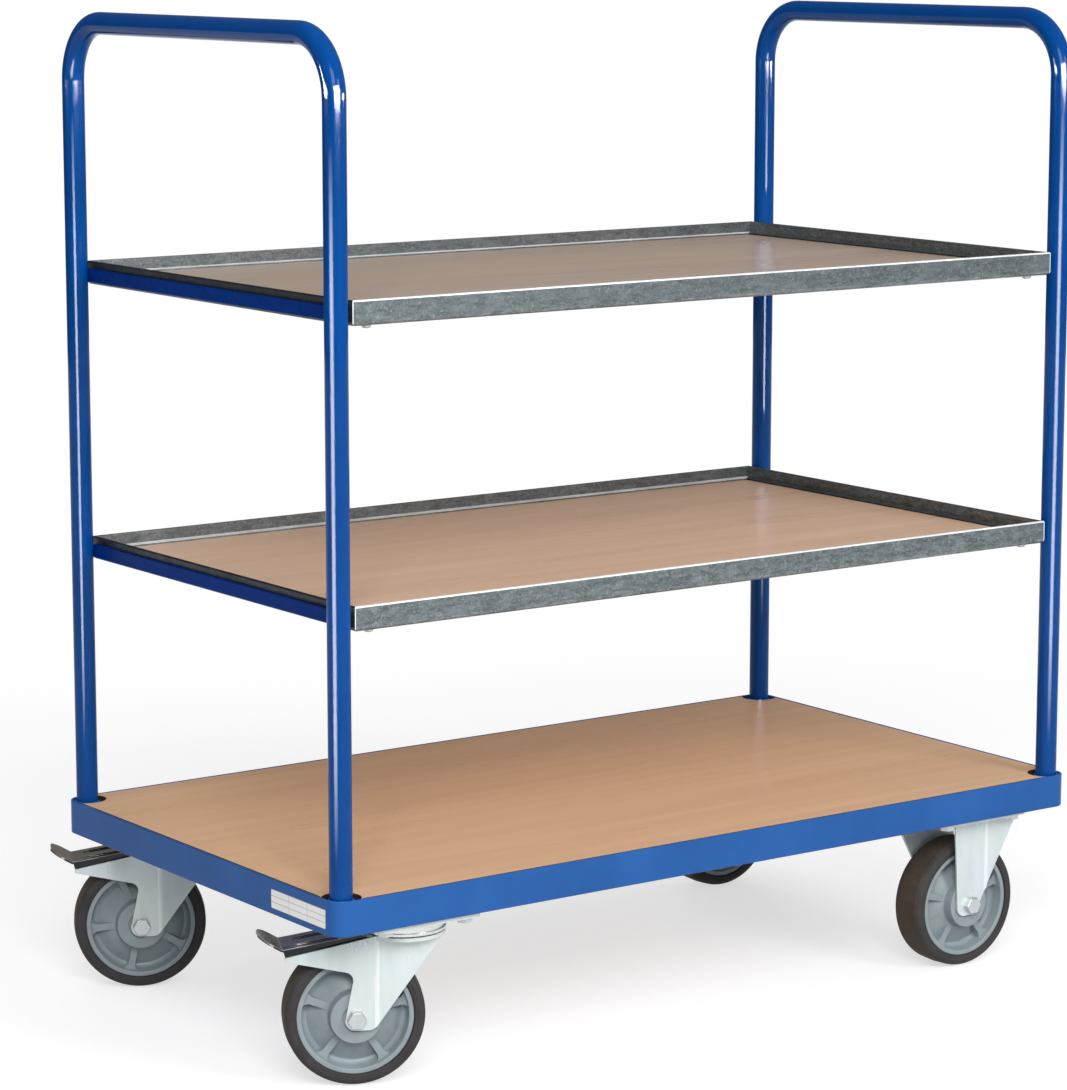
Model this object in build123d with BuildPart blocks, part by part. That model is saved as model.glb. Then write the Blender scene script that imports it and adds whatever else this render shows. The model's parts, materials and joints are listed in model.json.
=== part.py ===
from build123d import *
from math import cos, radians, sin, sqrt
import os

os.makedirs("parts", exist_ok=True)

# All sizes in millimetres. Origin on the floor under the middle of the deck,
# +X along the trolley towards the fixed castors, +Y across it, +Z up.

# End bars
upright_pitch_x = 1040.0  # tube axis to tube axis, along the trolley
upright_pitch_y = 568.0  # tube axis to tube axis, across the trolley
tube_diameter = 26.0
tube_wall = 2.0
handle_height = 1178.0  # floor to the top of the tube
handle_bend_radius = 68.0  # on the tube's axis

# Base frame
frame_height = 40.0
frame_wall = 3.0
frame_edge_radius = 1.2
flange_width = 25.0
socket_wall = 4.0  # sleeve round the tube's foot
corner_arm = 12.0  # straight stretch of a corner piece, from the tube's axis
cross_member_margin = 10.0  # past the castor plate, at each side
deck_bearer_width = 60.0
deck_thickness = 18.0
deck_gap = 1.0
deck_notch_gap = 2.0
socket_screw_diameter = 8.0
socket_screw_flats = 13.0
socket_screw_head_height = 5.0

# Label on the left end rail
label_length = 112.0
label_height = 21.5
label_thickness = 0.4
label_drop = 11.0  # below the frame's top

# Shelves
lower_shelf_height = 555.0  # floor to the top of the rim
upper_shelf_height = 885.0
shelf_overhang = 6.0  # past the tube's axis, front and rear
shelf_sheet = 2.0
shelf_bend_radius = 5.0  # outside of the bottom fold
rim_rise = 14.0  # rim above the ledge
ledge_width = 13.5
shelf_flange_width = 24.0
shelf_board_thickness = 10.0
shelf_board_play = 0.5  # board to the inside of the bottom fold
cross_bar_height = 15.0
cross_bar_thickness = 5.0
cross_bar_rise = 7.0  # bar's top above the board's top
cross_bar_bite = 1.0  # depth of the bar's outer face inside the tube
shelf_screw_diameter = 4.0
shelf_screw_head = 8.0
shelf_screw_length = 24.0
shelf_screw_pitch = 300.0
shelf_screw_cover = 1.0  # board left above the screw
panel_screw_diameter = 5.0
panel_screw_head = 11.0
panel_screw_head_height = 4.0
panel_screw_head_round = 3.0
panel_screw_length = 9.0
panel_screw_edge = 14.0  # from the rail's outer face
panel_screw_end = 26.0  # from the shelf's end
screw_play = 0.1

# Castor plates and their bolts
castor_inset = 110.0  # from the tubes' axes, along the trolley
castor_head_room = 35.0  # tread to the frame
castor_trail = 57.0
swivel_heading = 154.0  # direction of the trail, degrees from +X
fixed_heading = 180.0
castor_bolt_pitch_x = 105.0
castor_bolt_pitch_y = 88.0
castor_bolt_inset = 8.0  # from the free edge of the rail's bottom flange
castor_plate_margin_x = 17.5
castor_plate_margin_y = 13.5
castor_plate_corner = 12.0
swivel_plate_thickness = 6.0
fixed_plate_thickness = 4.0
castor_bolt_diameter = 10.0
castor_bolt_flats = 17.0
castor_bolt_head_height = 6.4
castor_nut_height = 8.0
castor_thread_end = 2.0
bolt_hole_play = 0.5
thread_play = 0.05

# Swivel head
housing_radius = 46.0
housing_bore = 32.0
housing_height = 13.0
housing_lip = 2.0
housing_lip_height = 3.0
race_radius = 40.0
race_gap = 2.0
ball_diameter = 6.0
ball_count = 24
ball_play = 0.2
king_bolt_diameter = 12.0
king_head_diameter = 18.0
king_head_height = 3.0
king_nut_flats = 19.0
king_nut_height = 8.0
king_nut_play = 0.3
crown_radius = 47.0
crown_thickness = 4.0

# Forks
fork_sheet = 3.5
fork_foot_drop = 13.0  # leg below the axle
fork_foot_radius = 11.0
swivel_fork_back = 40.0  # behind the swivel axis
swivel_fork_back_height = 4.6  # leg under the crown's back edge
swivel_fork_pinch = 8.0  # legs drawn in at the back
swivel_fork_crease = 27.0  # fold behind the axle
swivel_foot_front = 15.0  # ahead of the axle
swivel_foot_back = 19.7
swivel_throat_front = 1.5  # inner corner of the leg, ahead of the axle
swivel_throat_height = 52.0  # above the axle
swivel_throat_radius = 10.0
swivel_arm_start = 35.0  # ahead of the swivel axis
swivel_arm_reach = 136.0
swivel_arm_drop = 20.8  # top of the arm's end below the crown
swivel_arm_end_height = 4.0
fixed_leg_front = 27.0
fixed_leg_back = 72.0
fixed_foot_front = 20.4
fixed_foot_back = 8.0
fixed_fork_crease = 24.0
fixed_fork_flare = 4.0

# Wheels
wheel_diameter = 160.0
tyre_width = 46.0
tyre_depth = 14.0
tyre_shoulder = 8.0
tyre_crown = 0.8
tyre_lip = 2.0
tyre_side_gap = 5.5  # tyre to fork
rim_ring = 7.5
rim_edge_radius = 1.2
rim_root_radius = 2.0
disc_thickness = 30.0
spoke_count = 5
spoke_width = 9.0
spoke_turns = {"left_front": 15.0, "left_rear": 41.0,  # degrees about the axle, at rest
               "right_front": 20.0, "right_rear": 55.0}
pocket_wall = 2.0  # left beside the hub and the ring
pocket_depth = 9.0
pocket_corner = 5.0
pocket_taper = 12.0
hub_diameter = 58.0
hub_side_play = 0.5
bush_wall = 5.0
bush_inset = 3.0  # bush end inside the hub's face
sleeve_wall = 4.0
axle_diameter = 12.0
axle_flats = 19.0
axle_head_height = 7.5
axle_nut_height = 10.0
axle_thread_end = 3.0
hex_chamfer = 0.8
running_play = 0.06

# Brake
brake_angle = 10.0  # pedal travel in degrees
pedal_side_gap = 1.0  # pedal to fork
pedal_sheet = 2.5
pedal_pivot_drop = 7.5  # below the crown's top
pedal_pin_diameter = 5.0
pedal_ear = 5.5  # round the pin
pedal_ear_radius = 4.0
pedal_crown_gap = 3.0
pedal_start_rise = 1.5  # above the crown's top
pedal_length = 88.0
pedal_end_drop = 12.5
pedal_flange_start = 16.0
pedal_flange_end = 9.0
pedal_bend_radius = 4.0
pedal_toe_length = 25.0
pedal_toe_rise = 14.5
pedal_toe_corner = 18.0
pedal_rib_length = 60.0
pedal_rib_width = 7.0
pedal_rib_height = 1.6
pedal_rib_pitch = 28.0
shoe_front = 21.0  # ahead of the axle
shoe_length = 36.0
shoe_width = 36.0
shoe_gap = 0.4  # from the tread with the pedal down

# Places and sizes that follow from the ones above
tube_radius = tube_diameter / 2
upright_x = upright_pitch_x / 2
upright_y = upright_pitch_y / 2
socket_radius = tube_radius + socket_wall
corner_radius = socket_radius + frame_wall
notch_radius = corner_radius + deck_notch_gap
frame_x = upright_x + corner_radius
frame_y = upright_y + corner_radius
inner_y = frame_y - frame_wall - flange_width

wheel_radius = wheel_diameter / 2
castor_height = wheel_diameter + castor_head_room
frame_top = castor_height + frame_height
frame_floor = castor_height + frame_wall
ledge_top = frame_top - deck_thickness

shelf_end = upright_x - tube_radius - cross_bar_thickness + cross_bar_bite
shelf_side = upright_y + shelf_overhang
rim_thickness = 2 * shelf_sheet
board_top = -rim_rise - shelf_sheet
board_bottom = board_top - shelf_board_thickness
shelf_bottom = board_bottom - shelf_sheet
shelf_screw_z = board_top - shelf_screw_cover - shelf_screw_diameter / 2

castor_x = upright_x - castor_inset
castor_y = inner_y + castor_bolt_inset - castor_bolt_pitch_y / 2
castor_plate_length = castor_bolt_pitch_x + 2 * castor_plate_margin_x
castor_plate_width = castor_bolt_pitch_y + 2 * castor_plate_margin_y
cross_member_width = castor_plate_length + 2 * cross_member_margin
swivel_plate_bottom = castor_height - swivel_plate_thickness
fixed_plate_bottom = castor_height - fixed_plate_thickness
housing_bottom = swivel_plate_bottom - housing_height
crown_top = housing_bottom - race_gap
crown_bottom = crown_top - crown_thickness

tyre_half = tyre_width / 2
rim_half = tyre_half - tyre_lip
rim_radius = wheel_radius - tyre_depth
ring_radius = rim_radius - rim_ring
hub_radius = hub_diameter / 2
fork_half = tyre_half + tyre_side_gap
fork_outer = fork_half + fork_sheet
hub_half = fork_half - hub_side_play
sleeve_radius = axle_diameter / 2 + sleeve_wall
bush_bore = sleeve_radius + running_play
bush_radius = bush_bore + bush_wall

pedal_half = fork_half - pedal_side_gap
pedal_pivot_x = crown_radius
pedal_pivot_z = crown_top - pedal_pivot_drop
pedal_start = crown_radius + pedal_crown_gap
pedal_start_z = crown_top + pedal_start_rise
pedal_end = pedal_start + pedal_length
pedal_end_z = crown_top - pedal_end_drop

corners = [Location((-upright_x, -upright_y, 0), (0, 0, 0)),
           Location((upright_x, -upright_y, 0), (0, 0, 90)),
           Location((upright_x, upright_y, 0), (0, 0, 180)),
           Location((-upright_x, upright_y, 0), (0, 0, 270))]
swivel_castors = {"left_front": Location((-castor_x, -castor_y, 0)),
                  "left_rear": Location((-castor_x, castor_y, 0))}
fixed_castors = {"right_front": Location((castor_x, -castor_y, 0)),
                 "right_rear": Location((castor_x, castor_y, 0))}
shelves = {"lower": lower_shelf_height, "upper": upper_shelf_height}
axle_plane = Plane(origin=(0, 0, wheel_radius), x_dir=(-1, 0, 0), z_dir=(0, 1, 0))


def save(piece, name, place=Location()):
    """Puts a finished piece in its place, labels it and writes its file."""
    placed = piece.moved(place)
    placed.label = name
    export_step(placed, f"parts/{name}.step")


def frame_rail(half_web, half_flange, bolt_places):
    """Rail along X: outer face at y = 0, ledge and bottom flange towards +Y."""
    with BuildPart() as rail:
        with BuildSketch(Plane.YZ):
            with Locations((0, castor_height)):
                Rectangle(frame_wall, frame_height, align=Align.MIN)
        extrude(amount=half_web, both=True)
        fillet(rail.edges().filter_by(Axis.X).group_by(Axis.Y)[0], radius=frame_edge_radius)
        with BuildSketch(Plane.YZ):
            with Locations((frame_wall, castor_height), (frame_wall, ledge_top - frame_wall)):
                Rectangle(flange_width, frame_wall, align=Align.MIN)
        extrude(amount=half_flange, both=True)
        for place in bolt_places:
            with Locations((*place, frame_floor)):
                Hole(castor_bolt_diameter / 2 + bolt_hole_play, depth=frame_wall)
    return rail.part


# Rails of the base frame
bolt_line = frame_y - castor_y - castor_bolt_pitch_y / 2
bolt_ends = [castor * castor_x + bolt * castor_bolt_pitch_x / 2 for castor in (-1, 1) for bolt in (-1, 1)]
long_rail = frame_rail(upright_x - corner_arm, upright_x - socket_radius, [(x, bolt_line) for x in bolt_ends])
end_rail = frame_rail(upright_y - corner_arm, upright_y - socket_radius, [])
save(long_rail, "front_rail", Location((0, -frame_y, 0)))
save(long_rail, "rear_rail", Location((0, frame_y, 0), (0, 0, 180)))
save(end_rail, "left_end_rail", Location((-frame_x, 0, 0), (0, 0, -90)))
save(end_rail, "right_end_rail", Location((frame_x, 0, 0), (0, 0, 90)))


def corner_outline(radius):
    """Square round the tube's axis, with its outer corner rounded about that axis."""
    with Locations((-radius, -radius)):
        Rectangle(radius + corner_arm, radius + corner_arm, align=Align.MIN)
    fillet(vertices().group_by(Axis.X)[0].sort_by(Axis.Y)[0], radius=radius)


# Corner sockets: a rounded outer wall, a sleeve below the deck and a floor for the tube
socket_screw_z = (frame_floor + ledge_top - frame_wall) / 2
socket_screw_plane = Plane(origin=(0, 0, socket_screw_z), x_dir=(0, 0, 1), z_dir=(1, 1, 0))
with BuildPart() as corner_socket:
    with BuildSketch(Plane.XY.offset(castor_height)):
        corner_outline(corner_radius)
    extrude(amount=frame_height)
    rims = corner_socket.edges().filter_by(Axis.Z, reverse=True)
    outer_rims = rims.filter_by(lambda edge: edge.center().X + edge.center().Y < -corner_arm)
    fillet(outer_rims, radius=frame_edge_radius)
    with BuildSketch(Plane.XY.offset(castor_height)):
        corner_outline(socket_radius)
    extrude(amount=frame_height, mode=Mode.SUBTRACT)
    with BuildSketch(Plane.XY.offset(castor_height)):
        Circle(socket_radius)
    extrude(amount=ledge_top - castor_height)
    with BuildSketch(Plane.XY.offset(ledge_top)):
        Circle(socket_radius)
        Rectangle(socket_radius, socket_radius, align=Align.MAX, mode=Mode.INTERSECT)
    extrude(amount=deck_thickness - frame_edge_radius)
    with BuildSketch(Plane.XY.offset(frame_floor)):
        Circle(tube_radius)
    extrude(amount=frame_height, mode=Mode.SUBTRACT)
    with BuildSketch(socket_screw_plane):
        Circle(socket_screw_diameter / 2 + screw_play)
    extrude(amount=corner_radius, mode=Mode.SUBTRACT)

with BuildPart() as corner_sockets:
    with Locations(*corners):
        add(corner_socket.part)
save(corner_sockets.part, "corner_sockets")

# Set screws that hold the end bars in their sockets
with BuildPart() as socket_screw:
    with BuildSketch(socket_screw_plane.offset(tube_radius)):
        Circle(socket_screw_diameter / 2)
    extrude(amount=socket_wall)
    with BuildSketch(socket_screw_plane.offset(socket_radius)):
        RegularPolygon(socket_screw_flats / 2, 6, major_radius=False)
    extrude(amount=socket_screw_head_height)

with BuildPart() as end_bar_screws:
    with Locations(*corners):
        add(socket_screw.part)
save(end_bar_screws.part, "end_bar_screws")

# Cross members over the castors, and the bearer under the middle of the deck
bearer_depth = ledge_top - castor_height
with BuildPart() as cross_member:
    with BuildSketch(Plane.XZ):
        with Locations((0, castor_height)):
            Rectangle(cross_member_width, bearer_depth, align=(Align.CENTER, Align.MIN))
        with Locations((0, frame_floor)):
            Rectangle(cross_member_width - 2 * frame_wall, bearer_depth, align=(Align.CENTER, Align.MIN),
                      mode=Mode.SUBTRACT)
    extrude(amount=inner_y, both=True)
    with Locations((0, 0, frame_floor)):
        with GridLocations(castor_bolt_pitch_x, 2 * castor_y - castor_bolt_pitch_y, 2, 2):
            Hole(castor_bolt_diameter / 2 + bolt_hole_play, depth=frame_wall)
save(cross_member.part, "swivel_cross_member", Location((-castor_x, 0, 0)))
save(cross_member.part, "fixed_cross_member", Location((castor_x, 0, 0)))

with BuildPart() as deck_bearer:
    with BuildSketch(Plane.XZ):
        with Locations((0, castor_height)):
            Rectangle(deck_bearer_width, bearer_depth, align=(Align.CENTER, Align.MIN))
            Rectangle(deck_bearer_width - 2 * frame_wall, bearer_depth - frame_wall,
                      align=(Align.CENTER, Align.MIN), mode=Mode.SUBTRACT)
    extrude(amount=inner_y, both=True)
save(deck_bearer.part, "deck_bearer")

# Deck board, flush with the frame and notched round the tubes
with BuildPart() as deck_board:
    with BuildSketch(Plane.XY.offset(ledge_top)):
        Rectangle(2 * (frame_x - frame_wall - deck_gap), 2 * (frame_y - frame_wall - deck_gap))
        with GridLocations(upright_pitch_x, upright_pitch_y, 2, 2):
            Circle(notch_radius, mode=Mode.SUBTRACT)
        with GridLocations(upright_pitch_x + notch_radius, upright_pitch_y + notch_radius, 2, 2):
            Rectangle(notch_radius, notch_radius, mode=Mode.SUBTRACT)
    extrude(amount=deck_thickness)
save(deck_board.part, "deck_board")

# Label plate
with BuildPart() as blank_label:
    with BuildSketch(Plane(origin=(-frame_x, 0, 0), x_dir=(0, -1, 0), z_dir=(-1, 0, 0))):
        with Locations((upright_y, frame_top - label_drop)):
            Rectangle(label_length, label_height, align=Align.MAX)
    extrude(amount=label_thickness)
save(blank_label.part, "blank_label")

# End bars
bar_top = handle_height - tube_radius
with BuildPart() as end_bar:
    with BuildLine(Plane.YZ):
        FilletPolyline((-upright_y, frame_floor), (-upright_y, bar_top), (upright_y, bar_top),
                       (upright_y, frame_floor), radius=handle_bend_radius)
    with BuildSketch(Plane((0, -upright_y, frame_floor))):
        Circle(tube_radius)
        Circle(tube_radius - tube_wall, mode=Mode.SUBTRACT)
    sweep()
save(end_bar.part, "left_end_bar", Location((-upright_x, 0, 0)))
save(end_bar.part, "right_end_bar", Location((upright_x, 0, 0)))

# Cross bars between the tubes of an end bar, one for each end of a shelf
bar_half = upright_y - sqrt(tube_radius**2 - (tube_radius - cross_bar_bite) ** 2) / 2
bar_face = Plane(origin=(shelf_end + cross_bar_thickness, 0, 0), x_dir=(0, 1, 0), z_dir=(1, 0, 0))
screw_places = [(-shelf_screw_pitch / 2, shelf_screw_z), (shelf_screw_pitch / 2, shelf_screw_z)]
with BuildPart() as cross_bar:
    with BuildSketch(bar_face):
        with Locations((0, board_top + cross_bar_rise)):
            Rectangle(2 * bar_half, cross_bar_height, align=(Align.CENTER, Align.MAX))
    extrude(amount=-cross_bar_thickness)
    with BuildSketch(Plane.XY.offset(shelf_bottom)):
        with Locations((upright_x, -upright_y), (upright_x, upright_y)):
            Circle(tube_radius)
    extrude(amount=-shelf_bottom, mode=Mode.SUBTRACT)
    with Locations(bar_face):
        with Locations(*screw_places):
            CounterSinkHole(shelf_screw_diameter / 2 + screw_play, shelf_screw_head / 2 + screw_play,
                            depth=cross_bar_thickness, counter_sink_angle=90)

# Countersunk screw from the cross bar into the edge of the shelf's board
head_slope = (shelf_screw_head - shelf_screw_diameter) / 2
with BuildPart() as shelf_screw:
    with BuildSketch(bar_face.offset(-shelf_screw_length)):
        Circle(shelf_screw_diameter / 2)
    extrude(amount=shelf_screw_length)
    with BuildSketch(bar_face):
        Circle(shelf_screw_head / 2)
    extrude(amount=-head_slope, taper=45)


def shelf_rail(half_length, screws_below, screws_at_end):
    """Mitred rail along X: outer face at y = 0, rim's top at z = 0."""
    with BuildPart() as rail:
        with BuildSketch(Plane.YZ) as profile:
            Rectangle(rim_thickness, rim_rise + shelf_sheet, align=(Align.MIN, Align.MAX))
            fillet(profile.vertices().group_by(Axis.Y)[-1], radius=0.49 * rim_thickness)
            with Locations((0, shelf_bottom)):
                Rectangle(shelf_sheet, board_top - shelf_bottom, align=Align.MIN)
                Rectangle(shelf_flange_width, shelf_sheet, align=Align.MIN)
            with Locations((0, board_top)):
                Rectangle(rim_thickness + ledge_width, shelf_sheet, align=Align.MIN)
            fillet(profile.vertices().group_by(Axis.Y)[0].sort_by(Axis.X)[0], radius=shelf_bend_radius)
            fillet(profile.vertices().sort_by_distance((shelf_sheet, board_bottom))[0],
                   radius=shelf_bend_radius - shelf_sheet)
        extrude(amount=half_length, both=True)
        split(bisect_by=Plane(origin=(-half_length, 0, 0), z_dir=(1, -1, 0)), keep=Keep.TOP)
        split(bisect_by=Plane(origin=(half_length, 0, 0), z_dir=(-1, -1, 0)), keep=Keep.TOP)
        for x in screws_below:
            with Locations((x, panel_screw_edge, board_bottom)):
                Hole(panel_screw_diameter / 2 + screw_play, depth=shelf_sheet)
        for x, z in screws_at_end:
            with Locations(Location((x, 0, z), (90, 0, 0))):
                Hole(shelf_screw_diameter / 2 + screw_play, depth=shelf_sheet)
    return rail.part


# Shelf rails, from the shelf's middle at the height of its rim
panel_screw_x = shelf_end - panel_screw_end
panel_screw_y = shelf_side - panel_screw_edge
long_shelf_rail = shelf_rail(shelf_end, [-panel_screw_x, panel_screw_x], [])
end_shelf_rail = shelf_rail(shelf_side, [], screw_places)
with BuildPart() as end_shelf_rails:
    with Locations(Location((-shelf_end, 0, 0), (0, 0, -90)), Location((shelf_end, 0, 0), (0, 0, 90))):
        add(end_shelf_rail)

# Shelf board, held between ledge and flange
board_x = shelf_end - shelf_bend_radius - shelf_board_play
board_y = shelf_side - shelf_bend_radius - shelf_board_play
with BuildPart() as shelf_panel:
    with BuildSketch(Plane.XY.offset(board_bottom)):
        Rectangle(2 * board_x, 2 * board_y)
    extrude(amount=shelf_board_thickness)
    with BuildSketch(Plane.XY.offset(board_bottom)):
        with GridLocations(2 * panel_screw_x, 2 * panel_screw_y, 2, 2):
            Circle(panel_screw_diameter / 2 + screw_play)
    extrude(amount=panel_screw_length - shelf_sheet + screw_play, mode=Mode.SUBTRACT)
    screw_depth = shelf_screw_length - (shelf_end + cross_bar_thickness - board_x) + screw_play
    for end_plane in (Plane(origin=(board_x, 0, 0), x_dir=(0, 1, 0), z_dir=(1, 0, 0)),
                      Plane(origin=(-board_x, 0, 0), x_dir=(0, -1, 0), z_dir=(-1, 0, 0))):
        with BuildSketch(end_plane):
            with Locations(*screw_places):
                Circle(shelf_screw_diameter / 2 + screw_play)
        extrude(amount=-screw_depth, mode=Mode.SUBTRACT)

# Dome-headed screw under a shelf's corner
with BuildPart() as panel_screw:
    with BuildSketch(Plane.XY.offset(shelf_bottom)):
        Circle(panel_screw_diameter / 2)
    extrude(amount=panel_screw_length)
    with BuildSketch(Plane.XY.offset(shelf_bottom)):
        Circle(panel_screw_head / 2)
    extrude(amount=-panel_screw_head_height)
    fillet(panel_screw.edges().group_by(Axis.Z)[0], radius=panel_screw_head_round)

# Both shelves with their cross bars and screws
half_turn = (0, 0, 180)
for name, height in shelves.items():
    save(long_shelf_rail, f"{name}_shelf_front_rail", Location((0, -shelf_side, height)))
    save(long_shelf_rail, f"{name}_shelf_rear_rail", Location((0, shelf_side, height), half_turn))
    save(end_shelf_rails.part, f"{name}_shelf_end_rails", Location((0, 0, height)))
    save(shelf_panel.part, f"{name}_shelf_panel", Location((0, 0, height)))
    save(cross_bar.part, f"left_{name}_cross_bar", Location((0, 0, height), half_turn))
    save(cross_bar.part, f"right_{name}_cross_bar", Location((0, 0, height)))

with BuildPart() as shelf_screws:
    for height in shelves.values():
        for y, z in screw_places:
            with Locations(Location((0, y, height + z)), Location((0, y, height + z), half_turn)):
                add(shelf_screw.part)
save(shelf_screws.part, "shelf_screws")

with BuildPart() as panel_screws:
    for height in shelves.values():
        with Locations((0, 0, height)):
            with GridLocations(2 * panel_screw_x, 2 * panel_screw_y, 2, 2):
                add(panel_screw.part)
save(panel_screws.part, "panel_screws")


def castor_plate_outline():
    """Plate with rounded corners and four bolt holes."""
    RectangleRounded(castor_plate_length, castor_plate_width, castor_plate_corner)
    with GridLocations(castor_bolt_pitch_x, castor_bolt_pitch_y, 2, 2):
        Circle(castor_bolt_diameter / 2 + bolt_hole_play, mode=Mode.SUBTRACT)


# Top plate of a swivel castor, with the housing of the upper ball race
ball_z = crown_top + race_gap / 2
groove_radius = ball_diameter / 2 + ball_play
with BuildPart() as top_plate:
    with BuildSketch(Plane.XY.offset(swivel_plate_bottom)):
        castor_plate_outline()
    extrude(amount=swivel_plate_thickness)
    with BuildSketch(Plane.XY.offset(housing_bottom)):
        Circle(housing_radius)
        Circle(housing_bore, mode=Mode.SUBTRACT)
    extrude(amount=housing_height)
    with BuildSketch(Plane.XY.offset(housing_bottom)):
        Circle(housing_radius + housing_lip)
        Circle(housing_radius - housing_lip, mode=Mode.SUBTRACT)
    extrude(amount=housing_lip_height)
    with Locations((0, 0, ball_z)):
        Torus(race_radius, groove_radius, mode=Mode.SUBTRACT)
    with Locations((0, 0, castor_height)):
        CounterSinkHole(king_bolt_diameter / 2 + thread_play, king_head_diameter / 2 + thread_play,
                        depth=swivel_plate_thickness, counter_sink_angle=90)

with BuildPart() as ball_ring:
    with Locations((0, 0, ball_z)):
        with PolarLocations(race_radius, ball_count):
            Sphere(ball_diameter / 2)

# King bolt, riveted flush into the plate, with its nut below the crown
king_nut_top = crown_bottom - king_nut_play
with BuildPart() as king_bolt:
    with BuildSketch(Plane.XY.offset(king_nut_top)):
        Circle(king_bolt_diameter / 2)
    extrude(amount=castor_height - king_nut_top)
    with BuildSketch(Plane.XY.offset(castor_height)):
        Circle(king_head_diameter / 2)
    extrude(amount=-king_head_height, taper=45)
    with BuildSketch(Plane.XY.offset(king_nut_top)):
        RegularPolygon(king_nut_flats / 2, 6, major_radius=False)
    extrude(amount=-king_nut_height)

for name, place in swivel_castors.items():
    save(top_plate.part, f"{name}_top_plate", place)

with BuildPart() as swivel_balls:
    with Locations(*swivel_castors.values()):
        add(ball_ring.part)
save(swivel_balls.part, "swivel_balls")

with BuildPart() as king_bolts:
    with Locations(*swivel_castors.values()):
        add(king_bolt.part)
save(king_bolts.part, "king_bolts")


def castor_bolt(plate_bottom):
    """Hexagon bolt from below the castor's plate, standing out above its nut."""
    with BuildPart() as bolt:
        with BuildSketch(Plane.XY.offset(plate_bottom)):
            RegularPolygon(castor_bolt_flats / 2, 6, major_radius=False)
        extrude(amount=-castor_bolt_head_height)
        chamfer(bolt.faces().sort_by(Axis.Z)[0].edges(), length=hex_chamfer)
        with BuildSketch(Plane.XY.offset(plate_bottom)):
            Circle(castor_bolt_diameter / 2)
        extrude(amount=frame_floor + castor_nut_height + castor_thread_end - plate_bottom)
    return bolt.part


with BuildPart() as castor_nut:
    with BuildSketch(Plane.XY.offset(frame_floor)):
        RegularPolygon(castor_bolt_flats / 2, 6, major_radius=False)
        Circle(castor_bolt_diameter / 2 + thread_play, mode=Mode.SUBTRACT)
    extrude(amount=castor_nut_height)

with BuildPart() as castor_bolts:
    for castors, plate_bottom in ((swivel_castors, swivel_plate_bottom), (fixed_castors, fixed_plate_bottom)):
        bolt = castor_bolt(plate_bottom)
        with Locations(*castors.values()):
            with GridLocations(castor_bolt_pitch_x, castor_bolt_pitch_y, 2, 2):
                add(bolt)
                add(castor_nut.part)
save(castor_bolts.part, "castor_bolts")

# Wheel, standing on the floor with its axle along Y above the origin
with BuildPart() as tyre:
    with BuildSketch(Plane.XY.offset(wheel_radius)):
        with BuildLine():
            shoulder_x = wheel_radius - tyre_crown
            shoulder_y = tyre_half - tyre_shoulder
            Polyline((rim_radius, 0), (rim_radius, rim_half), (rim_radius + tyre_lip, tyre_half),
                     (shoulder_x - tyre_shoulder, tyre_half))
            JernArc((shoulder_x - tyre_shoulder, tyre_half), (1, 0), tyre_shoulder, -90)
            mirror(about=Plane.XZ)
            ThreePointArc((shoulder_x, shoulder_y), (wheel_radius, 0), (shoulder_x, -shoulder_y))
        make_face()
    revolve(axis=Axis((0, 0, wheel_radius), (0, 1, 0)))

disc_half = disc_thickness / 2
rim_corners = [0, 0, 0, rim_edge_radius, rim_root_radius, rim_root_radius, rim_edge_radius, 0]
with BuildPart() as rim:
    with BuildSketch(Plane.XY.offset(wheel_radius)):
        with BuildLine():
            FilletPolyline((bush_radius, 0), (rim_radius, 0), (rim_radius, rim_half), (ring_radius, rim_half),
                           (ring_radius, disc_half), (hub_radius, disc_half), (hub_radius, hub_half),
                           (bush_radius, hub_half), close=True, radius=rim_corners)
        make_face()
    revolve(axis=Axis((0, 0, wheel_radius), (0, 1, 0)))
    with BuildSketch(axle_plane.offset(disc_half)) as pockets:
        Circle(ring_radius - pocket_wall)
        Circle(hub_radius + pocket_wall, mode=Mode.SUBTRACT)
        for spoke in range(spoke_count):
            turn = spoke * 360 / spoke_count
            Rectangle(ring_radius, spoke_width, rotation=turn, align=(Align.MIN, Align.CENTER),
                      mode=Mode.SUBTRACT)
        fillet(pockets.vertices(), radius=pocket_corner)
    extrude(amount=-pocket_depth, taper=pocket_taper, mode=Mode.SUBTRACT)
    mirror(about=Plane.XZ)

with BuildPart() as bush:
    with BuildSketch(axle_plane.offset(bush_inset - hub_half)):
        Circle(bush_radius)
        Circle(bush_bore, mode=Mode.SUBTRACT)
    extrude(amount=2 * (hub_half - bush_inset))

# Axle: bolt, nut and the spacer sleeve between the legs, as separate solids
with BuildPart() as axle_bolt:
    with BuildSketch(axle_plane.offset(fork_outer)):
        RegularPolygon(axle_flats / 2, 6, major_radius=False)
    extrude(amount=axle_head_height)
    chamfer(axle_bolt.faces().sort_by(Axis.Y)[-1].edges(), length=hex_chamfer)
    with BuildSketch(axle_plane.offset(fork_outer)):
        Circle(axle_diameter / 2)
    extrude(amount=-(2 * fork_outer + axle_nut_height + axle_thread_end))

with BuildPart() as axle_nut:
    with BuildSketch(axle_plane.offset(-fork_outer)):
        RegularPolygon(axle_flats / 2, 6, major_radius=False)
        Circle(axle_diameter / 2 + thread_play, mode=Mode.SUBTRACT)
    extrude(amount=-axle_nut_height)

with BuildPart() as axle_sleeve:
    with BuildSketch(axle_plane.offset(-fork_half)):
        Circle(sleeve_radius)
        Circle(axle_diameter / 2 + thread_play, mode=Mode.SUBTRACT)
    extrude(amount=2 * fork_half)

with BuildPart() as axle:
    add(axle_bolt.part)
    add(axle_nut.part)
    add(axle_sleeve.part)

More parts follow.
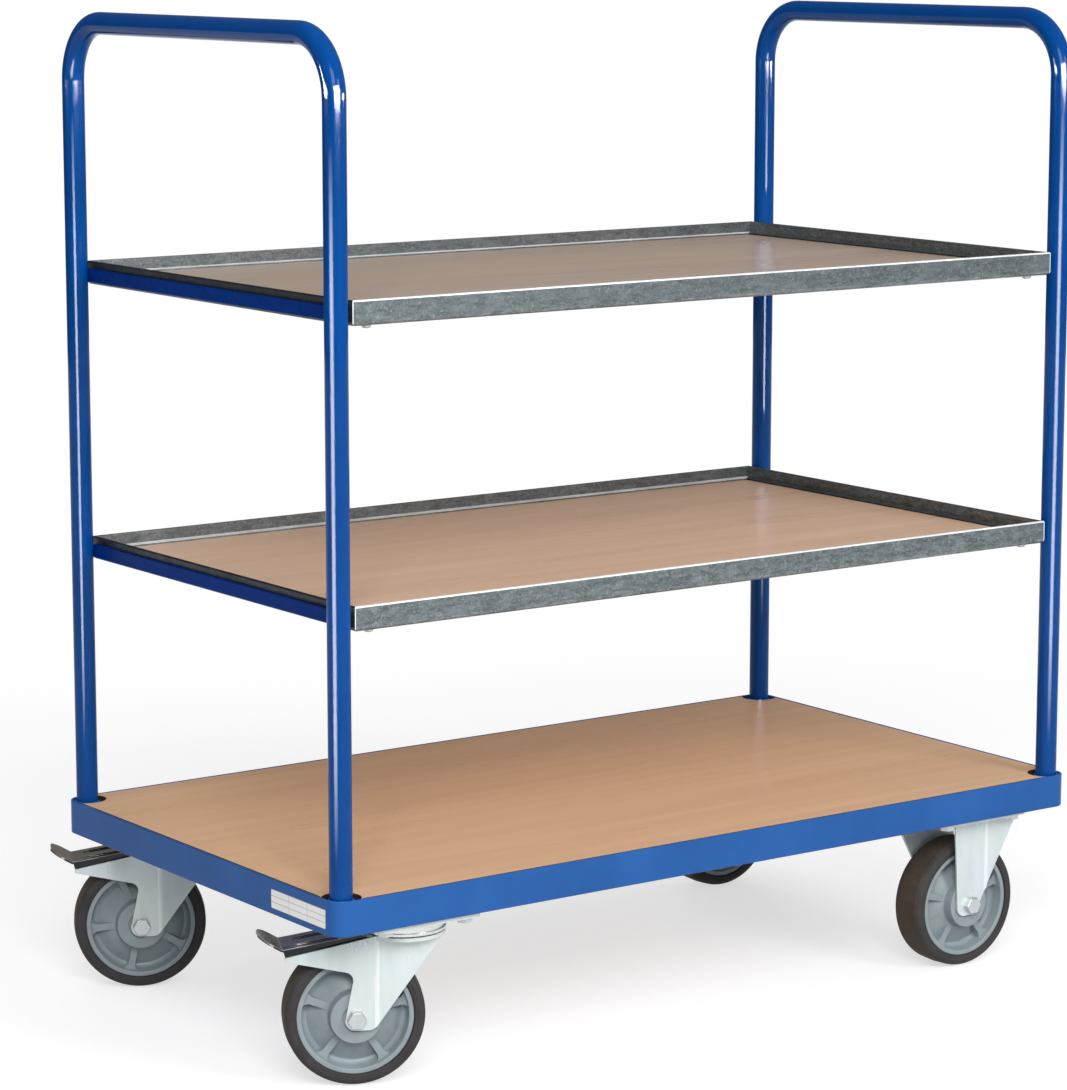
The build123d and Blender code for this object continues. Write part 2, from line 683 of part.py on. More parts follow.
# Swivel fork: swivel axis at the origin, wheel ahead of it along +X
crease_x = castor_trail - swivel_fork_crease
foot_z = wheel_radius - fork_foot_drop
arm_end_z = crown_top - swivel_arm_drop
back_y = fork_outer - swivel_fork_pinch
with BuildPart() as swivel_fork:
    with BuildSketch(Plane.XZ):
        with BuildLine():
            FilletPolyline((-swivel_fork_back, crown_top),
                           (-swivel_fork_back, crown_top - swivel_fork_back_height),
                           (castor_trail - swivel_foot_back, foot_z),
                           (castor_trail + swivel_foot_front, foot_z),
                           (castor_trail + swivel_throat_front, wheel_radius + swivel_throat_height),
                           (swivel_arm_reach, arm_end_z - swivel_arm_end_height),
                           (swivel_arm_reach, arm_end_z), (swivel_arm_start, crown_top), close=True,
                           radius=[0, 0, fork_foot_radius, fork_foot_radius, swivel_throat_radius, 0, 0, 0])
        make_face()
    extrude(amount=fork_outer, both=True)
    with BuildSketch(Plane.XY):
        with BuildLine():
            Polyline((-swivel_fork_back, back_y), (crease_x, fork_outer), (swivel_arm_reach, fork_outer),
                     (swivel_arm_reach, fork_half), (crease_x, fork_half),
                     (-swivel_fork_back, back_y - fork_sheet), close=True)
        make_face()
        mirror(about=Plane.XZ)
    extrude(amount=crown_top, mode=Mode.INTERSECT)
    with BuildSketch(Plane.XY.offset(crown_bottom)):
        with BuildLine():
            Polyline((-swivel_fork_back, -back_y), (crease_x, -fork_outer), (swivel_arm_start, -fork_outer),
                     (swivel_arm_start, fork_outer), (crease_x, fork_outer), (-swivel_fork_back, back_y),
                     close=True)
        make_face()
        Circle(crown_radius)
    extrude(amount=crown_thickness)
    with Locations((0, 0, crown_top)):
        Hole(king_bolt_diameter / 2 + running_play, depth=crown_thickness)
    with Locations((0, 0, ball_z)):
        Torus(race_radius, groove_radius, mode=Mode.SUBTRACT)
    with Locations((castor_trail, 0, wheel_radius)):
        Cylinder(axle_diameter / 2 + thread_play, 2 * fork_outer, rotation=(90, 0, 0), mode=Mode.SUBTRACT)
    with Locations((pedal_pivot_x, 0, pedal_pivot_z)):
        Cylinder(pedal_pin_diameter / 2 + thread_play, 2 * fork_outer, rotation=(90, 0, 0),
                 mode=Mode.SUBTRACT)

with BuildPart() as pedal_pin:
    with Locations((pedal_pivot_x, 0, pedal_pivot_z)):
        Cylinder(pedal_pin_diameter / 2, 2 * fork_outer, rotation=(90, 0, 0))

# Brake pedal: a folded plate with two side flanges and a raised toe
pedal_slope = (pedal_end_z - pedal_start_z) / pedal_length
flange_plane = Plane.XZ.offset(-pedal_half)
with BuildPart() as pedal:
    with BuildSketch(Plane.XZ):
        with BuildLine():
            FilletPolyline((pedal_start, pedal_start_z), (pedal_end, pedal_end_z),
                           (pedal_end + pedal_toe_length, pedal_end_z + pedal_toe_rise),
                           radius=pedal_bend_radius)
            offset(amount=pedal_sheet, side=Side.RIGHT)
        make_face()
    extrude(amount=pedal_half, both=True)
    fillet(pedal.faces().sort_by(Axis.X)[-1].edges().filter_by(Axis.Y, reverse=True), radius=pedal_toe_corner)
    with BuildSketch(flange_plane):
        with BuildLine():
            FilletPolyline((pedal_pivot_x - pedal_ear, pedal_pivot_z - pedal_ear),
                           (pedal_pivot_x - pedal_ear, pedal_pivot_z + pedal_ear),
                           (pedal_start, pedal_start_z), (pedal_end, pedal_end_z),
                           (pedal_end - pedal_sheet, pedal_end_z - pedal_flange_end),
                           (pedal_start, pedal_start_z - pedal_flange_start), close=True,
                           radius=[pedal_ear_radius, pedal_ear_radius, 0, 0, pedal_sheet, 0])
        make_face()
    extrude(amount=pedal_sheet)
    mirror(about=Plane.XZ)
    with Locations((pedal_pivot_x, 0, pedal_pivot_z)):
        Cylinder(pedal_pin_diameter / 2 + running_play, 2 * fork_outer, rotation=(90, 0, 0),
                 mode=Mode.SUBTRACT)
    tread_middle = ((pedal_start + pedal_end) / 2, 0, (pedal_start_z + pedal_end_z) / 2)
    with BuildSketch(Plane(origin=tread_middle, x_dir=(1, 0, pedal_slope), z_dir=(-pedal_slope, 0, 1))):
        with Locations((0, -pedal_rib_pitch / 2), (0, pedal_rib_pitch / 2)):
            SlotOverall(pedal_rib_length, pedal_rib_width)
    extrude(amount=pedal_rib_height)


def pedal_underside(x):
    """Height of the plate's lower face above the floor."""
    return pedal_start_z + pedal_slope * (x - pedal_start) - pedal_sheet * sqrt(1 + pedal_slope**2)


# Brake shoe: its hollow face fits the tread once the pedal is down
shoe_start = castor_trail + shoe_front
shoe_end = shoe_start + shoe_length
axle_x = castor_trail - pedal_pivot_x
axle_z = wheel_radius - pedal_pivot_z
press = radians(brake_angle)
pressed_x = pedal_pivot_x + axle_x * cos(press) - axle_z * sin(press)
pressed_z = pedal_pivot_z + axle_x * sin(press) + axle_z * cos(press)
with BuildPart() as brake_shoe:
    with BuildSketch(Plane.XZ):
        with BuildLine():
            Polyline((shoe_start, pedal_underside(shoe_start)), (shoe_end, pedal_underside(shoe_end)),
                     (shoe_end, pressed_z), (shoe_start, pressed_z), close=True)
        make_face()
        with Locations((pressed_x, pressed_z)):
            Circle(wheel_radius + shoe_gap, mode=Mode.SUBTRACT)
    extrude(amount=shoe_width / 2, both=True)

# Fixed fork: the wheel stands below the middle of the plate
fixed_edge = fork_outer + fixed_fork_flare
with BuildPart() as fixed_leg:
    with BuildSketch(Plane.XZ):
        with BuildLine():
            FilletPolyline((fixed_leg_front, fixed_plate_bottom), (fixed_foot_front, foot_z),
                           (-fixed_foot_back, foot_z), (-fixed_leg_back, fixed_plate_bottom), close=True,
                           radius=[0, fork_foot_radius, fork_foot_radius, 0])
        make_face()
    extrude(amount=-fixed_edge)
    with BuildSketch(Plane.XY):
        with BuildLine():
            Polyline((fixed_leg_front, fork_half), (fixed_leg_front, fork_outer),
                     (-fixed_fork_crease, fork_outer), (-fixed_leg_back, fixed_edge),
                     (-fixed_leg_back, fixed_edge - fork_sheet), (-fixed_fork_crease, fork_half), close=True)
        make_face()
    extrude(amount=fixed_plate_bottom, mode=Mode.INTERSECT)

with BuildPart() as fixed_fork:
    with BuildSketch(Plane.XY.offset(fixed_plate_bottom)):
        castor_plate_outline()
    extrude(amount=fixed_plate_thickness)
    with Locations(Location(), Location((0, 0, 0), half_turn)):
        add(fixed_leg.part)
    with Locations((0, 0, wheel_radius)):
        Cylinder(axle_diameter / 2 + thread_play, 2 * fixed_edge, rotation=(90, 0, 0), mode=Mode.SUBTRACT)

# The four castors in their places
wheel_pieces = {"rim": rim.part, "tyre": tyre.part, "bush": bush.part}


def save_wheel(name, place):
    """Writes a castor's axle, and its wheel with the spokes turned about that axle."""
    save(axle.part, f"{name}_axle", place)
    spoke_turn = Location((0, 0, wheel_radius), (0, spoke_turns[name], 0)) * Location((0, 0, -wheel_radius))
    for piece_name, piece in wheel_pieces.items():
        save(piece, f"{name}_{piece_name}", place * spoke_turn)


swivel_pieces = {"fork": swivel_fork.part, "pedal_pin": pedal_pin.part, "pedal": pedal.part,
                 "brake_shoe": brake_shoe.part}
for name, place in swivel_castors.items():
    heading = place * Location((0, 0, 0), (0, 0, swivel_heading))
    for piece_name, piece in swivel_pieces.items():
        save(piece, f"{name}_{piece_name}", heading)
    save_wheel(name, heading * Location((castor_trail, 0, 0)))

for name, place in fixed_castors.items():
    heading = place * Location((0, 0, 0), (0, 0, fixed_heading))
    save(fixed_fork.part, f"{name}_fork", heading)
    save_wheel(name, heading)
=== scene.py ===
import json
from math import atan2, cos, hypot, pi, radians, sin, sqrt

import bmesh
import bpy
from bpy.props import FloatProperty, FloatVectorProperty, IntProperty, PointerProperty
from mathutils import Matrix, Vector

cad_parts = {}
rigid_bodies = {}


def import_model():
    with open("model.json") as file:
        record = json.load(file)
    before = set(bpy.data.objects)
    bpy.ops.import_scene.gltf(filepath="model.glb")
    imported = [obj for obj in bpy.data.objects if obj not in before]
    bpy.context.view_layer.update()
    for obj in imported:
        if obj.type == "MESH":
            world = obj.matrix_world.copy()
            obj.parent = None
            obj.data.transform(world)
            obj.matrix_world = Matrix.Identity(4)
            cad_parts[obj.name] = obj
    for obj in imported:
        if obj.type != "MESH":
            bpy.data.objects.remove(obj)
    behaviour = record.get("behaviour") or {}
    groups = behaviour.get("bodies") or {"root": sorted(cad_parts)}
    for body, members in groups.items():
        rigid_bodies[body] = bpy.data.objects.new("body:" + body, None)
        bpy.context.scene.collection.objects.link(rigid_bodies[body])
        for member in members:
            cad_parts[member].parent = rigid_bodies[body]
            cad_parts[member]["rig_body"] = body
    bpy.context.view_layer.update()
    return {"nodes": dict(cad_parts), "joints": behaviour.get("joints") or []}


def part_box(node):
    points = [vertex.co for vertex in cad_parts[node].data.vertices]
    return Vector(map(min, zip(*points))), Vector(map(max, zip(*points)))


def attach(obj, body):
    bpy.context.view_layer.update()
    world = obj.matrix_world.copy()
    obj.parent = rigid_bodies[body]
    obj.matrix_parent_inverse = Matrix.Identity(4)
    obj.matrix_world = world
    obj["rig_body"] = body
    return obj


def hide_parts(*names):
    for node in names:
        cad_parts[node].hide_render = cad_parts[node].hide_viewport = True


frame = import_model()

bl_info = {
    "name": "Shelf Trolley",
    "version": (1, 0, 0),
    "blender": (4, 5, 0),
    "location": "View3D > Sidebar > Trolley",
    "description": "Models the visible pieces of a shelf trolley and gives them their finishes",
    "category": "Object",
}

# Sizes and places that the frame gives, in metres
bar_low, bar_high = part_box("left_end_bar")
TUBE_RADIUS = (bar_high.x - bar_low.x) / 2
UPRIGHT_X = -(bar_high.x + bar_low.x) / 2
UPRIGHT_Y = bar_high.y - TUBE_RADIUS
BAR_FOOT = bar_low.z
BAR_TOP = bar_high.z - TUBE_RADIUS

frame_low, frame_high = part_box("corner_sockets")
FRAME_X = frame_high.x
FRAME_Y = frame_high.y
FRAME_BOTTOM = frame_low.z
FRAME_TOP = frame_high.z
FRAME_CORNER = FRAME_X - UPRIGHT_X
DECK_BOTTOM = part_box("deck_board")[0].z

rail_low, rail_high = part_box("upper_shelf_front_rail")
SHELF_END = rail_high.x
SHELF_SIDE = -rail_low.y
RAIL_HEIGHT = rail_high.z - rail_low.z
RAIL_FLANGE = rail_high.y - rail_low.y
SHELF_HEIGHTS = {shelf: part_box(f"{shelf}_shelf_front_rail")[1].z for shelf in ("lower", "upper")}

tyre_low, tyre_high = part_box("right_front_tyre")
rim_low, rim_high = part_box("right_front_rim")
bush_low, bush_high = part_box("right_front_bush")
WHEEL_RADIUS = (tyre_high.z - tyre_low.z) / 2
TYRE_HALF = (tyre_high.y - tyre_low.y) / 2
RIM_RADIUS = (rim_high.z - rim_low.z) / 2
HUB_HALF = (rim_high.y - rim_low.y) / 2
BUSH_RADIUS = (bush_high.z - bush_low.z) / 2

SWIVEL_CASTORS = ("left_front", "left_rear")
FIXED_CASTORS = ("right_front", "right_rear")
CASTORS = SWIVEL_CASTORS + FIXED_CASTORS
CORNERS = [(x * UPRIGHT_X, y * UPRIGHT_Y, 0) for x in (-1, 1) for y in (-1, 1)]
JOINTS = {joint["name"]: joint for joint in frame["joints"]}
SPOKES = 5
LABEL_FIELDS = 3  # empty fields across the label, and rows of them

MERGE = 1e-6  # verts closer than this become one
NEAR = 1e-5  # play when verts are looked for by their place
NEAR_FACE = 1e-4  # play when verts are looked for on a face of the frame's solids
FLAT_ANGLE = radians(0.6)  # faces that meet at a smaller angle become one
SENSOR_WIDTH = 36.0  # millimetres
WHITE = (1, 1, 1, 1)


def colour(name, description, *screen):
    """Colour setting with its default in screen values of 0 to 255."""
    shares = [value / 255 for value in screen]
    linear = [share / 12.92 if share < 0.04 else ((share + 0.055) / 1.055) ** 2.4 for share in shares]
    return FloatVectorProperty(name=name, description=description, subtype="COLOR", size=3, min=0.0, max=1.0,
                               default=linear)


def length(name, description, default, least=0.0):
    """Length setting in metres."""
    return FloatProperty(name=name, description=description, default=default, min=least, precision=5,
                         unit="LENGTH", subtype="DISTANCE")


def count(name, description, default, least=4):
    """Whole number setting."""
    return IntProperty(name=name, description=description, default=default, min=least)


def level(name, description, default, unit="NONE"):
    """Setting for a strength of light, or a power in watts."""
    return FloatProperty(name=name, description=description, default=default, min=0.0, unit=unit)


def angle(name, description, degrees):
    """Angle setting with its default in degrees."""
    return FloatProperty(name=name, description=description, default=radians(degrees), subtype="ANGLE")


class TrolleyFinishes(bpy.types.PropertyGroup):
    """Colours of the trolley's finishes"""
    frame_paint: colour("Frame paint", "Blue gloss paint of the base frame", 41, 92, 160)
    tube_paint: colour("Tube paint", "Blue gloss paint of the end bars", 4, 66, 136)
    # Painted shade: the cross bars' blue is the frame paint darkened for the shade they stand in
    bar_paint: colour("Bar paint", "Darker blue paint of the cross bars", 0, 46, 122)
    galvanised: colour("Galvanised sheet", "Mean tone of the shelf rails", 128, 138, 141)
    # Painted highlight: near-white sheet on the long rails' hems, cut ends and ledges stands in for the light
    # they catch
    fold_line: colour("Fold line", "Sheet polished where it was folded or cut", 243, 246, 247)
    # Painted shade: the rails' inner walls take a duller, darker sheet for the shade inside the shelf
    rail_inside: colour("Rail inside", "Duller sheet on the rails' inner walls", 117, 123, 125)
    # Painted shade: the end rails' outsides take a dark sheet for the shade they stand in
    end_sheet: colour("End sheet", "Dark sheet on the outside of the shelves' end rails", 58, 62, 66)
    zinc: colour("Zinc plate", "Plated steel of the castor forks and plates", 209, 221, 225)
    # Painted highlight: near-white plating on the castors' edges and fork creases stands in for the light
    # they catch
    zinc_edge: colour("Zinc edge", "Plating polished on folds and edges", 230, 239, 242)
    bright_steel: colour("Bright steel", "Bolts, nuts and screws", 198, 202, 204)
    # Pedal plating; its warm cast is a painted reflection of the beech above it
    chrome: colour("Pedal plating", "Tread plate of the brake pedals", 190, 180, 166)
    # Painted highlight: near-white plating on the pedals' edges
    chrome_edge_highlight: colour("Pedal edge", "Plating polished on the pedals' edges", 236, 236, 234)
    race: colour("Race", "Polished housing of the ball races", 214, 216, 214)
    # Painted reflection: the pedals' sides take near-black plating for the dark surroundings they mirror
    chrome_side_dark_reflection: colour("Pedal side", "Darker plating on the pedals' sides", 50, 50, 52)
    deck_beech: colour("Deck board", "Beech decor of the deck", 222, 183, 146)
    # Painted light: the lower board is lightened against the shade of the shelf above, and the upper board
    # made greyer and darker; both stand for one beech
    lower_beech: colour("Lower board", "Beech decor of the lower shelf", 233, 197, 167)
    upper_beech: colour("Upper board", "Beech decor of the upper shelf, a little greyer", 205, 180, 160)
    # Partly raw edge, partly painted shade: the deck's edge is darkened near black for the shade in the gap
    # by the frame
    raw_edge_in_shade: colour("Board edge", "Raw edge of the deck board", 50, 36, 29)
    tyre_side: colour("Tyre wall", "Rubber of the tyre's side", 61, 59, 59)
    tyre_tread: colour("Tyre tread", "Rubber of the tread", 76, 67, 59)
    rim_plastic: colour("Rim", "Plastic of the wheel rim", 140, 152, 156)
    bush_plastic: colour("Bush", "Plastic of the wheel bush", 160, 164, 165)
    brake_rubber: colour("Brake shoe", "Rubber of the brake shoe", 34, 34, 36)
    label_card: colour("Label", "Blank label on the frame", 250, 250, 248)
    label_rule: colour("Label rules", "Thin lines between the label's empty fields", 176, 180, 184)


class TrolleyDetails(bpy.types.PropertyGroup):
    """Sizes of the details that the looks add"""
    handle_bend: length("Handle bend", "Bend radius of the end bars, on the tube's axis", 0.068)
    tube_sides: count("Tube sides", "Sides of a round tube", 64)
    bend_steps: count("Bend steps", "Steps in a bend of a quarter turn", 18)
    frame_wall: length("Frame wall", "Sheet of the base frame", 0.003)
    frame_flange: length("Frame flange", "Width of the frame's ledge and bottom flange", 0.025)
    frame_steps: count("Frame corner steps", "Steps in a round corner of the frame", 10)
    paint_edge: length("Paint edge", "Rounding of painted edges", 0.0011)
    board_edge: length("Board edge", "Rounding of the deck's edges", 0.0014)
    press_edge: length("Pressing edge", "Rounding of pressed castor steel", 0.0009)
    fine_edge: length("Fine edge", "Rounding of small steel pieces", 0.0003)
    rim_edge: length("Rim edge", "Rounding of moulded edges on the rim", 0.0005)
    sleeve_sides: count("Sleeve sides", "Sides of a corner sleeve", 48)
    collar_wall: length("Collar wall", "Wall of the collar round a tube's foot", 0.004)
    collar_drop: length("Collar drop", "Top of that collar below the frame's top", 0.004)
    weld_bead: length("Weld bead", "Radius of a weld bead", 0.0022)
    bead_sides: count("Bead sides", "Sides of a weld bead", 12)
    shelf_sheet: length("Shelf sheet", "Sheet of the shelf rails", 0.002)
    shelf_fold: length("Shelf fold", "Outer radius of the rail's bottom fold", 0.005)
    shelf_rise: length("Shelf rise", "Rim above the ledge", 0.014)
    shelf_ledge: length("Shelf ledge", "Width of the rail's ledge", 0.0135)
    fold_steps: count("Fold steps", "Steps in a fold of the shelf sheet", 8)
    plate_thickness: length("Plate thickness", "Thickness of a swivel castor's plate", 0.0065)
    fork_face: length("Fork face", "Outer face of a fork's leg from the wheel's middle", 0.032)
    crease_swivel: length("Swivel crease", "Crease of a swivel fork from its axle", -0.023, -1.0)
    crease_fixed: length("Fixed crease", "Crease of a fixed fork from its axle", -0.024, -1.0)
    crease_width: length("Crease width", "Width of the pressed crease in a fork's leg", 0.005)
    crease_height: length("Crease height", "Height of the pressed crease", 0.0016)
    toe_start: length("Toe start", "Start of a pedal's toe, ahead of the axle", 0.081)
    wheel_sides: count("Wheel sides", "Sides of a tyre", 128)
    tyre_lip: length("Tyre lip", "Lip of the tyre on the rim", 0.002)
    tyre_ridge: length("Tyre ridge", "Height of the ridge round the tyre's wall", 0.0004)
    tyre_shoulder: length("Tyre shoulder", "Rounding between the wall and the tread", 0.008)
    tyre_crown: length("Tyre crown", "Height of the tread's middle over its sides", 0.0008)
    tread_edge: length("Tread edge", "Start of the tread's own rubber from the wall", 0.004)
    rim_ring: length("Rim ring", "Width of the rim's front ring", 0.0058)
    rim_corner: length("Rim corner", "Rounding of the rim's ring and hub", 0.0012)
    rim_draft: length("Rim draft", "Slant of the ring's and the hub's wall", 0.0012)
    rim_root: length("Rim root", "Rounding at the foot of the ring's wall", 0.006)
    rim_floor: length("Rim floor", "Web at the ring from the wheel's middle", 0.004)
    rim_dish: length("Rim dish", "Web at the hub from the wheel's middle", 0.0145)
    hub_radius: length("Hub radius", "Radius of the rim's hub", 0.029)
    spoke_face: length("Spoke face", "Face of a spoke from the wheel's middle", 0.015)
    spoke_width: length("Spoke width", "Width of a spoke at its narrowest", 0.0085)
    spoke_flare: length("Spoke flare", "Rounding where a spoke runs into the ring", 0.009)
    spoke_steps: count("Spoke steps", "Steps along a spoke", 24)
    label_corner: length("Label corner", "Radius of the label's corners", 0.002)
    label_line: length("Label line", "Width of the lines between the label's fields", 0.0004)


class TrolleyStage(bpy.types.PropertyGroup):
    """Camera, lamps and floor"""
    camera_place: FloatVectorProperty(name="Camera", description="Where the camera stands", size=3,
                                      subtype="TRANSLATION", unit="LENGTH",
                                      default=(-2.6456, -3.6255, 1.2847))
    camera_yaw: angle("Yaw", "Camera's turn to the right of +Y", 35.488)
    camera_pitch: angle("Pitch", "Camera's tilt below the horizon", 9.494)
    focal_length: FloatProperty(name="Focal length", description="Lens in millimetres on a 36 mm sensor",
                                default=123.84, min=1.0)
    ambient: level("Ambient", "Light from all round", 0.42)
    key_power: level("Key lamp", "Soft lamp high at the front left", 110.0, "POWER")
    window_power: level("Window lamp", "Soft lamp at the front right", 60.0, "POWER")
    fill_power: level("Fill lamp", "Wide lamp behind, for the sides turned away", 24.0, "POWER")
    top_power: level("Top lamp", "Lamp overhead that draws highlights on folded edges", 60.0, "POWER")
    strip_power: level("Strip lamps", "Lamps that draw the long highlight of the tubes", 98.0, "POWER")
    pane_power: level("Pane lamps", "Panes that the bends reflect, per square metre", 420.0, "POWER")
    surround_dark: level("Dark surround", "Reflected dome behind at the left", 0.08)
    surround_light: level("Light surround", "Reflected dome in front at the right", 0.36)
    surround_radius: length("Surround radius", "Radius of the reflected dome", 7.0)
    floor: colour("Floor", "Pale floor", 188, 188, 189)
    floor_size: length("Floor size", "Side of the floor", 120.0)
    floor_glow: level("Floor glow", "White that the floor shows beside its lit tone", 0.62)
    floor_reach: length("Floor reach", "Distance at which the floor is as white as the background", 2.6)


# Ways of working on a mesh


def deselect():
    """Lets go of all pieces."""
    bpy.ops.object.select_all(action="DESELECT")


def activate(piece):
    """Selects one piece alone."""
    deselect()
    piece.select_set(True)
    bpy.context.view_layer.objects.active = piece


def settle(piece):
    """Puts a piece's place, turn and scale into its mesh."""
    activate(piece)
    bpy.ops.object.transform_apply(location=True, rotation=True, scale=True)


def begin(name):
    """Names the primitive that was just added, with its place in its mesh."""
    piece = bpy.context.object
    piece.name = name
    piece.data.name = name
    settle(piece)
    return piece


def start_editing(piece, action="DESELECT"):
    """Opens one piece in edit mode with nothing selected, or with all of it."""
    activate(piece)
    bpy.ops.object.mode_set(mode="EDIT")
    bpy.ops.mesh.select_mode(type="VERT")
    bpy.ops.mesh.select_all(action=action)


def stop_editing():
    """Goes back to object mode."""
    bpy.ops.object.mode_set(mode="OBJECT")


def select_whole():
    """Selects all of the open piece."""
    bpy.ops.mesh.select_all(action="SELECT")


def select_where(piece, kind, test):
    """Selects the verts, edges or faces of the open piece that pass a test."""
    bpy.ops.mesh.select_mode(type={"verts": "VERT", "edges": "EDGE", "faces": "FACE"}[kind])
    bpy.ops.mesh.select_all(action="DESELECT")
    mesh = bmesh.from_edit_mesh(piece.data)
    for element in getattr(mesh, kind):
        element.select_set(test(element))
    mesh.select_flush_mode()
    if not any(element.select for element in getattr(mesh, kind)):
        raise RuntimeError(f"{piece.name} has no {kind} where they are expected")
    bmesh.update_edit_mesh(piece.data)


def extrude(way):
    """Extrudes what is selected by a vector."""
    bpy.ops.mesh.extrude_region_move(TRANSFORM_OT_translate={"value": way})


def cut_across(place, normal, **ways):
    """Cuts all of the open piece along a plane."""
    select_whole()
    bpy.ops.mesh.bisect(plane_co=place, plane_no=normal, **ways)


def merge_doubles():
    """Merges all verts of the open piece that lie in one place."""
    select_whole()
    bpy.ops.mesh.remove_doubles(threshold=MERGE)


def face_outwards():
    """Points all faces of the open piece outwards."""
    select_whole()
    bpy.ops.mesh.normals_make_consistent(inside=False)


def apply_modifier(piece, kind, **settings):
    """Adds a modifier with its settings and applies it."""
    activate(piece)
    modifier = piece.modifiers.new(kind.title(), kind)
    for key, value in settings.items():
        setattr(modifier, key, value)
    bpy.ops.object.modifier_apply(modifier=modifier.name)


def round_edges(piece, width, segments=2, degrees=30, material=-1):
    """Rounds the edges that are sharper than an angle; the new faces can take another finish."""
    apply_modifier(piece, "BEVEL", width=width, segments=segments, limit_method="ANGLE", material=material,
                   angle_limit=radians(degrees), harden_normals=False, miter_outer="MITER_ARC")


def smooth(piece, degrees=35):
    """Shades a piece smooth, apart from its sharp edges, and keeps its flat faces flat."""
    activate(piece)
    bpy.ops.object.shade_smooth_by_angle(angle=radians(degrees))
    apply_modifier(piece, "WEIGHTED_NORMAL", keep_sharp=True)


def close_up(piece):
    """Merges doubles, fills open ends and points the faces outwards."""
    start_editing(piece)
    merge_doubles()
    select_whole()
    bpy.ops.mesh.fill_holes(sides=0)
    face_outwards()
    stop_editing()


def join(pieces):
    """Joins pieces into the first one."""
    activate(pieces[0])
    for piece in pieces[1:]:
        piece.select_set(True)
    bpy.ops.object.join()
    return pieces[0]


def linked(name, data):
    """New object in the scene."""
    piece = bpy.data.objects.new(name, data)
    bpy.context.scene.collection.objects.link(piece)
    return piece


def placed_copy(piece, name, place):
    """Copy of a piece with its own mesh, moved by a matrix."""
    copy = linked(name, piece.data.copy())
    copy.data.name = name
    copy.matrix_world = place
    settle(copy)
    return copy


def block(name, low, high):
    """Box between two corners."""
    deselect()
    bpy.ops.mesh.primitive_cube_add(size=1, location=(Vector(low) + Vector(high)) / 2)
    bpy.context.object.scale = Vector(high) - Vector(low)
    return begin(name)


def circle(name, sides, radius, place, turn=(0, 0, 0), fill="NOTHING"):
    """Ring of verts, or a round face."""
    deselect()
    bpy.ops.mesh.primitive_circle_add(vertices=sides, radius=radius, fill_type=fill, location=place,
                                      rotation=turn)
    return begin(name)


def post(name, sides, radius, foot, height):
    """Upright round post on its foot."""
    piece = circle(name, sides, radius, foot, fill="NGON")
    start_editing(piece, "SELECT")
    extrude((0, 0, height))
    stop_editing()
    close_up(piece)
    return piece


def turned(name, profile, sides):
    """Closed body turned about Y: the profile is a list of places along Y and radii, back to its start."""
    (place, radius), *rest = profile
    piece = circle(name, sides, radius, (0, place, 0), (pi / 2, 0, 0))
    start_editing(piece, "SELECT")
    for next_place, next_radius in rest:
        grow = next_radius / radius
        extrude((0, next_place - place, 0))
        bpy.ops.transform.resize(value=(grow, 1, grow), center_override=(0, next_place, 0))
        place, radius = next_place, next_radius
    merge_doubles()
    stop_editing()
    close_up(piece)
    return piece


def arc(centre, radius, start, end, steps):
    """Points on an arc between two angles in degrees, ends included."""
    angles = [radians(start + (end - start) * step / steps) for step in range(steps + 1)]
    return [(centre[0] + radius * cos(turn), centre[1] + radius * sin(turn)) for turn in angles]


def folded_strip(name, half_length, corner, heading, runs, bend_steps):
    """Strip along X, folded in the YZ plane: a run is a length, or a radius with an angle to turn by."""
    first, *rest = runs
    start = Vector((0, *corner))
    direction = Vector((0, cos(radians(heading)), sin(radians(heading))))
    deselect()
    bpy.ops.mesh.primitive_plane_add(size=1)
    bpy.context.object.matrix_world = (Matrix.Translation(start + direction * first / 2)
                                       @ Matrix.Rotation(radians(heading), 4, "X")
                                       @ Matrix.Diagonal((2 * half_length, first, 1, 1)))
    piece = begin(name)
    place = start + direction * first
    start_editing(piece)
    select_where(piece, "verts", lambda vert: (Vector((0, vert.co.y, vert.co.z)) - place).length < NEAR)
    for run in rest:
        direction = Vector((0, cos(radians(heading)), sin(radians(heading))))
        if isinstance(run, tuple):
            radius, turn = run
            side = Vector((0, -direction.z, direction.y)) * (1 if turn > 0 else -1)
            centre = place + side * radius
            bpy.ops.mesh.spin(steps=bend_steps, angle=radians(-turn), center=centre, axis=(1, 0, 0))
            place = centre + Matrix.Rotation(radians(turn), 3, "X") @ (place - centre)
            heading += turn
        else:
            extrude(direction * run)
            place = place + direction * run
    stop_editing()
    return piece


def give_finishes(piece, *finishes):
    """Puts finishes on a piece in place of those it has."""
    piece.data.materials.clear()
    for coat in finishes:
        piece.data.materials.append(coat)


def coat_faces(piece, index, test):
    """Gives the faces that pass a test another of the piece's finishes."""
    for face in piece.data.polygons:
        if test(face):
            face.material_index = index


def dress(piece, slot, body, *nodes):
    """Lets a finished piece ride on a body and stand for nodes."""
    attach(piece, body)
    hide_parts(*nodes)
    return piece


def dress_copy(node, slot, edge, segments, *finishes):
    """Rounded copy of a node that rides where the node rides; a second finish goes on its edges."""
    piece = linked(f"{node}_finished", frame["nodes"][node].data.copy())
    activate(piece)
    bpy.ops.mesh.customdata_custom_splitnormals_clear()
    start_editing(piece)
    merge_doubles()
    bpy.ops.mesh.dissolve_limited(angle_limit=FLAT_ANGLE)
    stop_editing()
    give_finishes(piece, *finishes)
    round_edges(piece, edge, segments, material=1 if len(finishes) > 1 else -1)
    smooth(piece)
    return dress(piece, slot, frame["nodes"][node]["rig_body"], node)


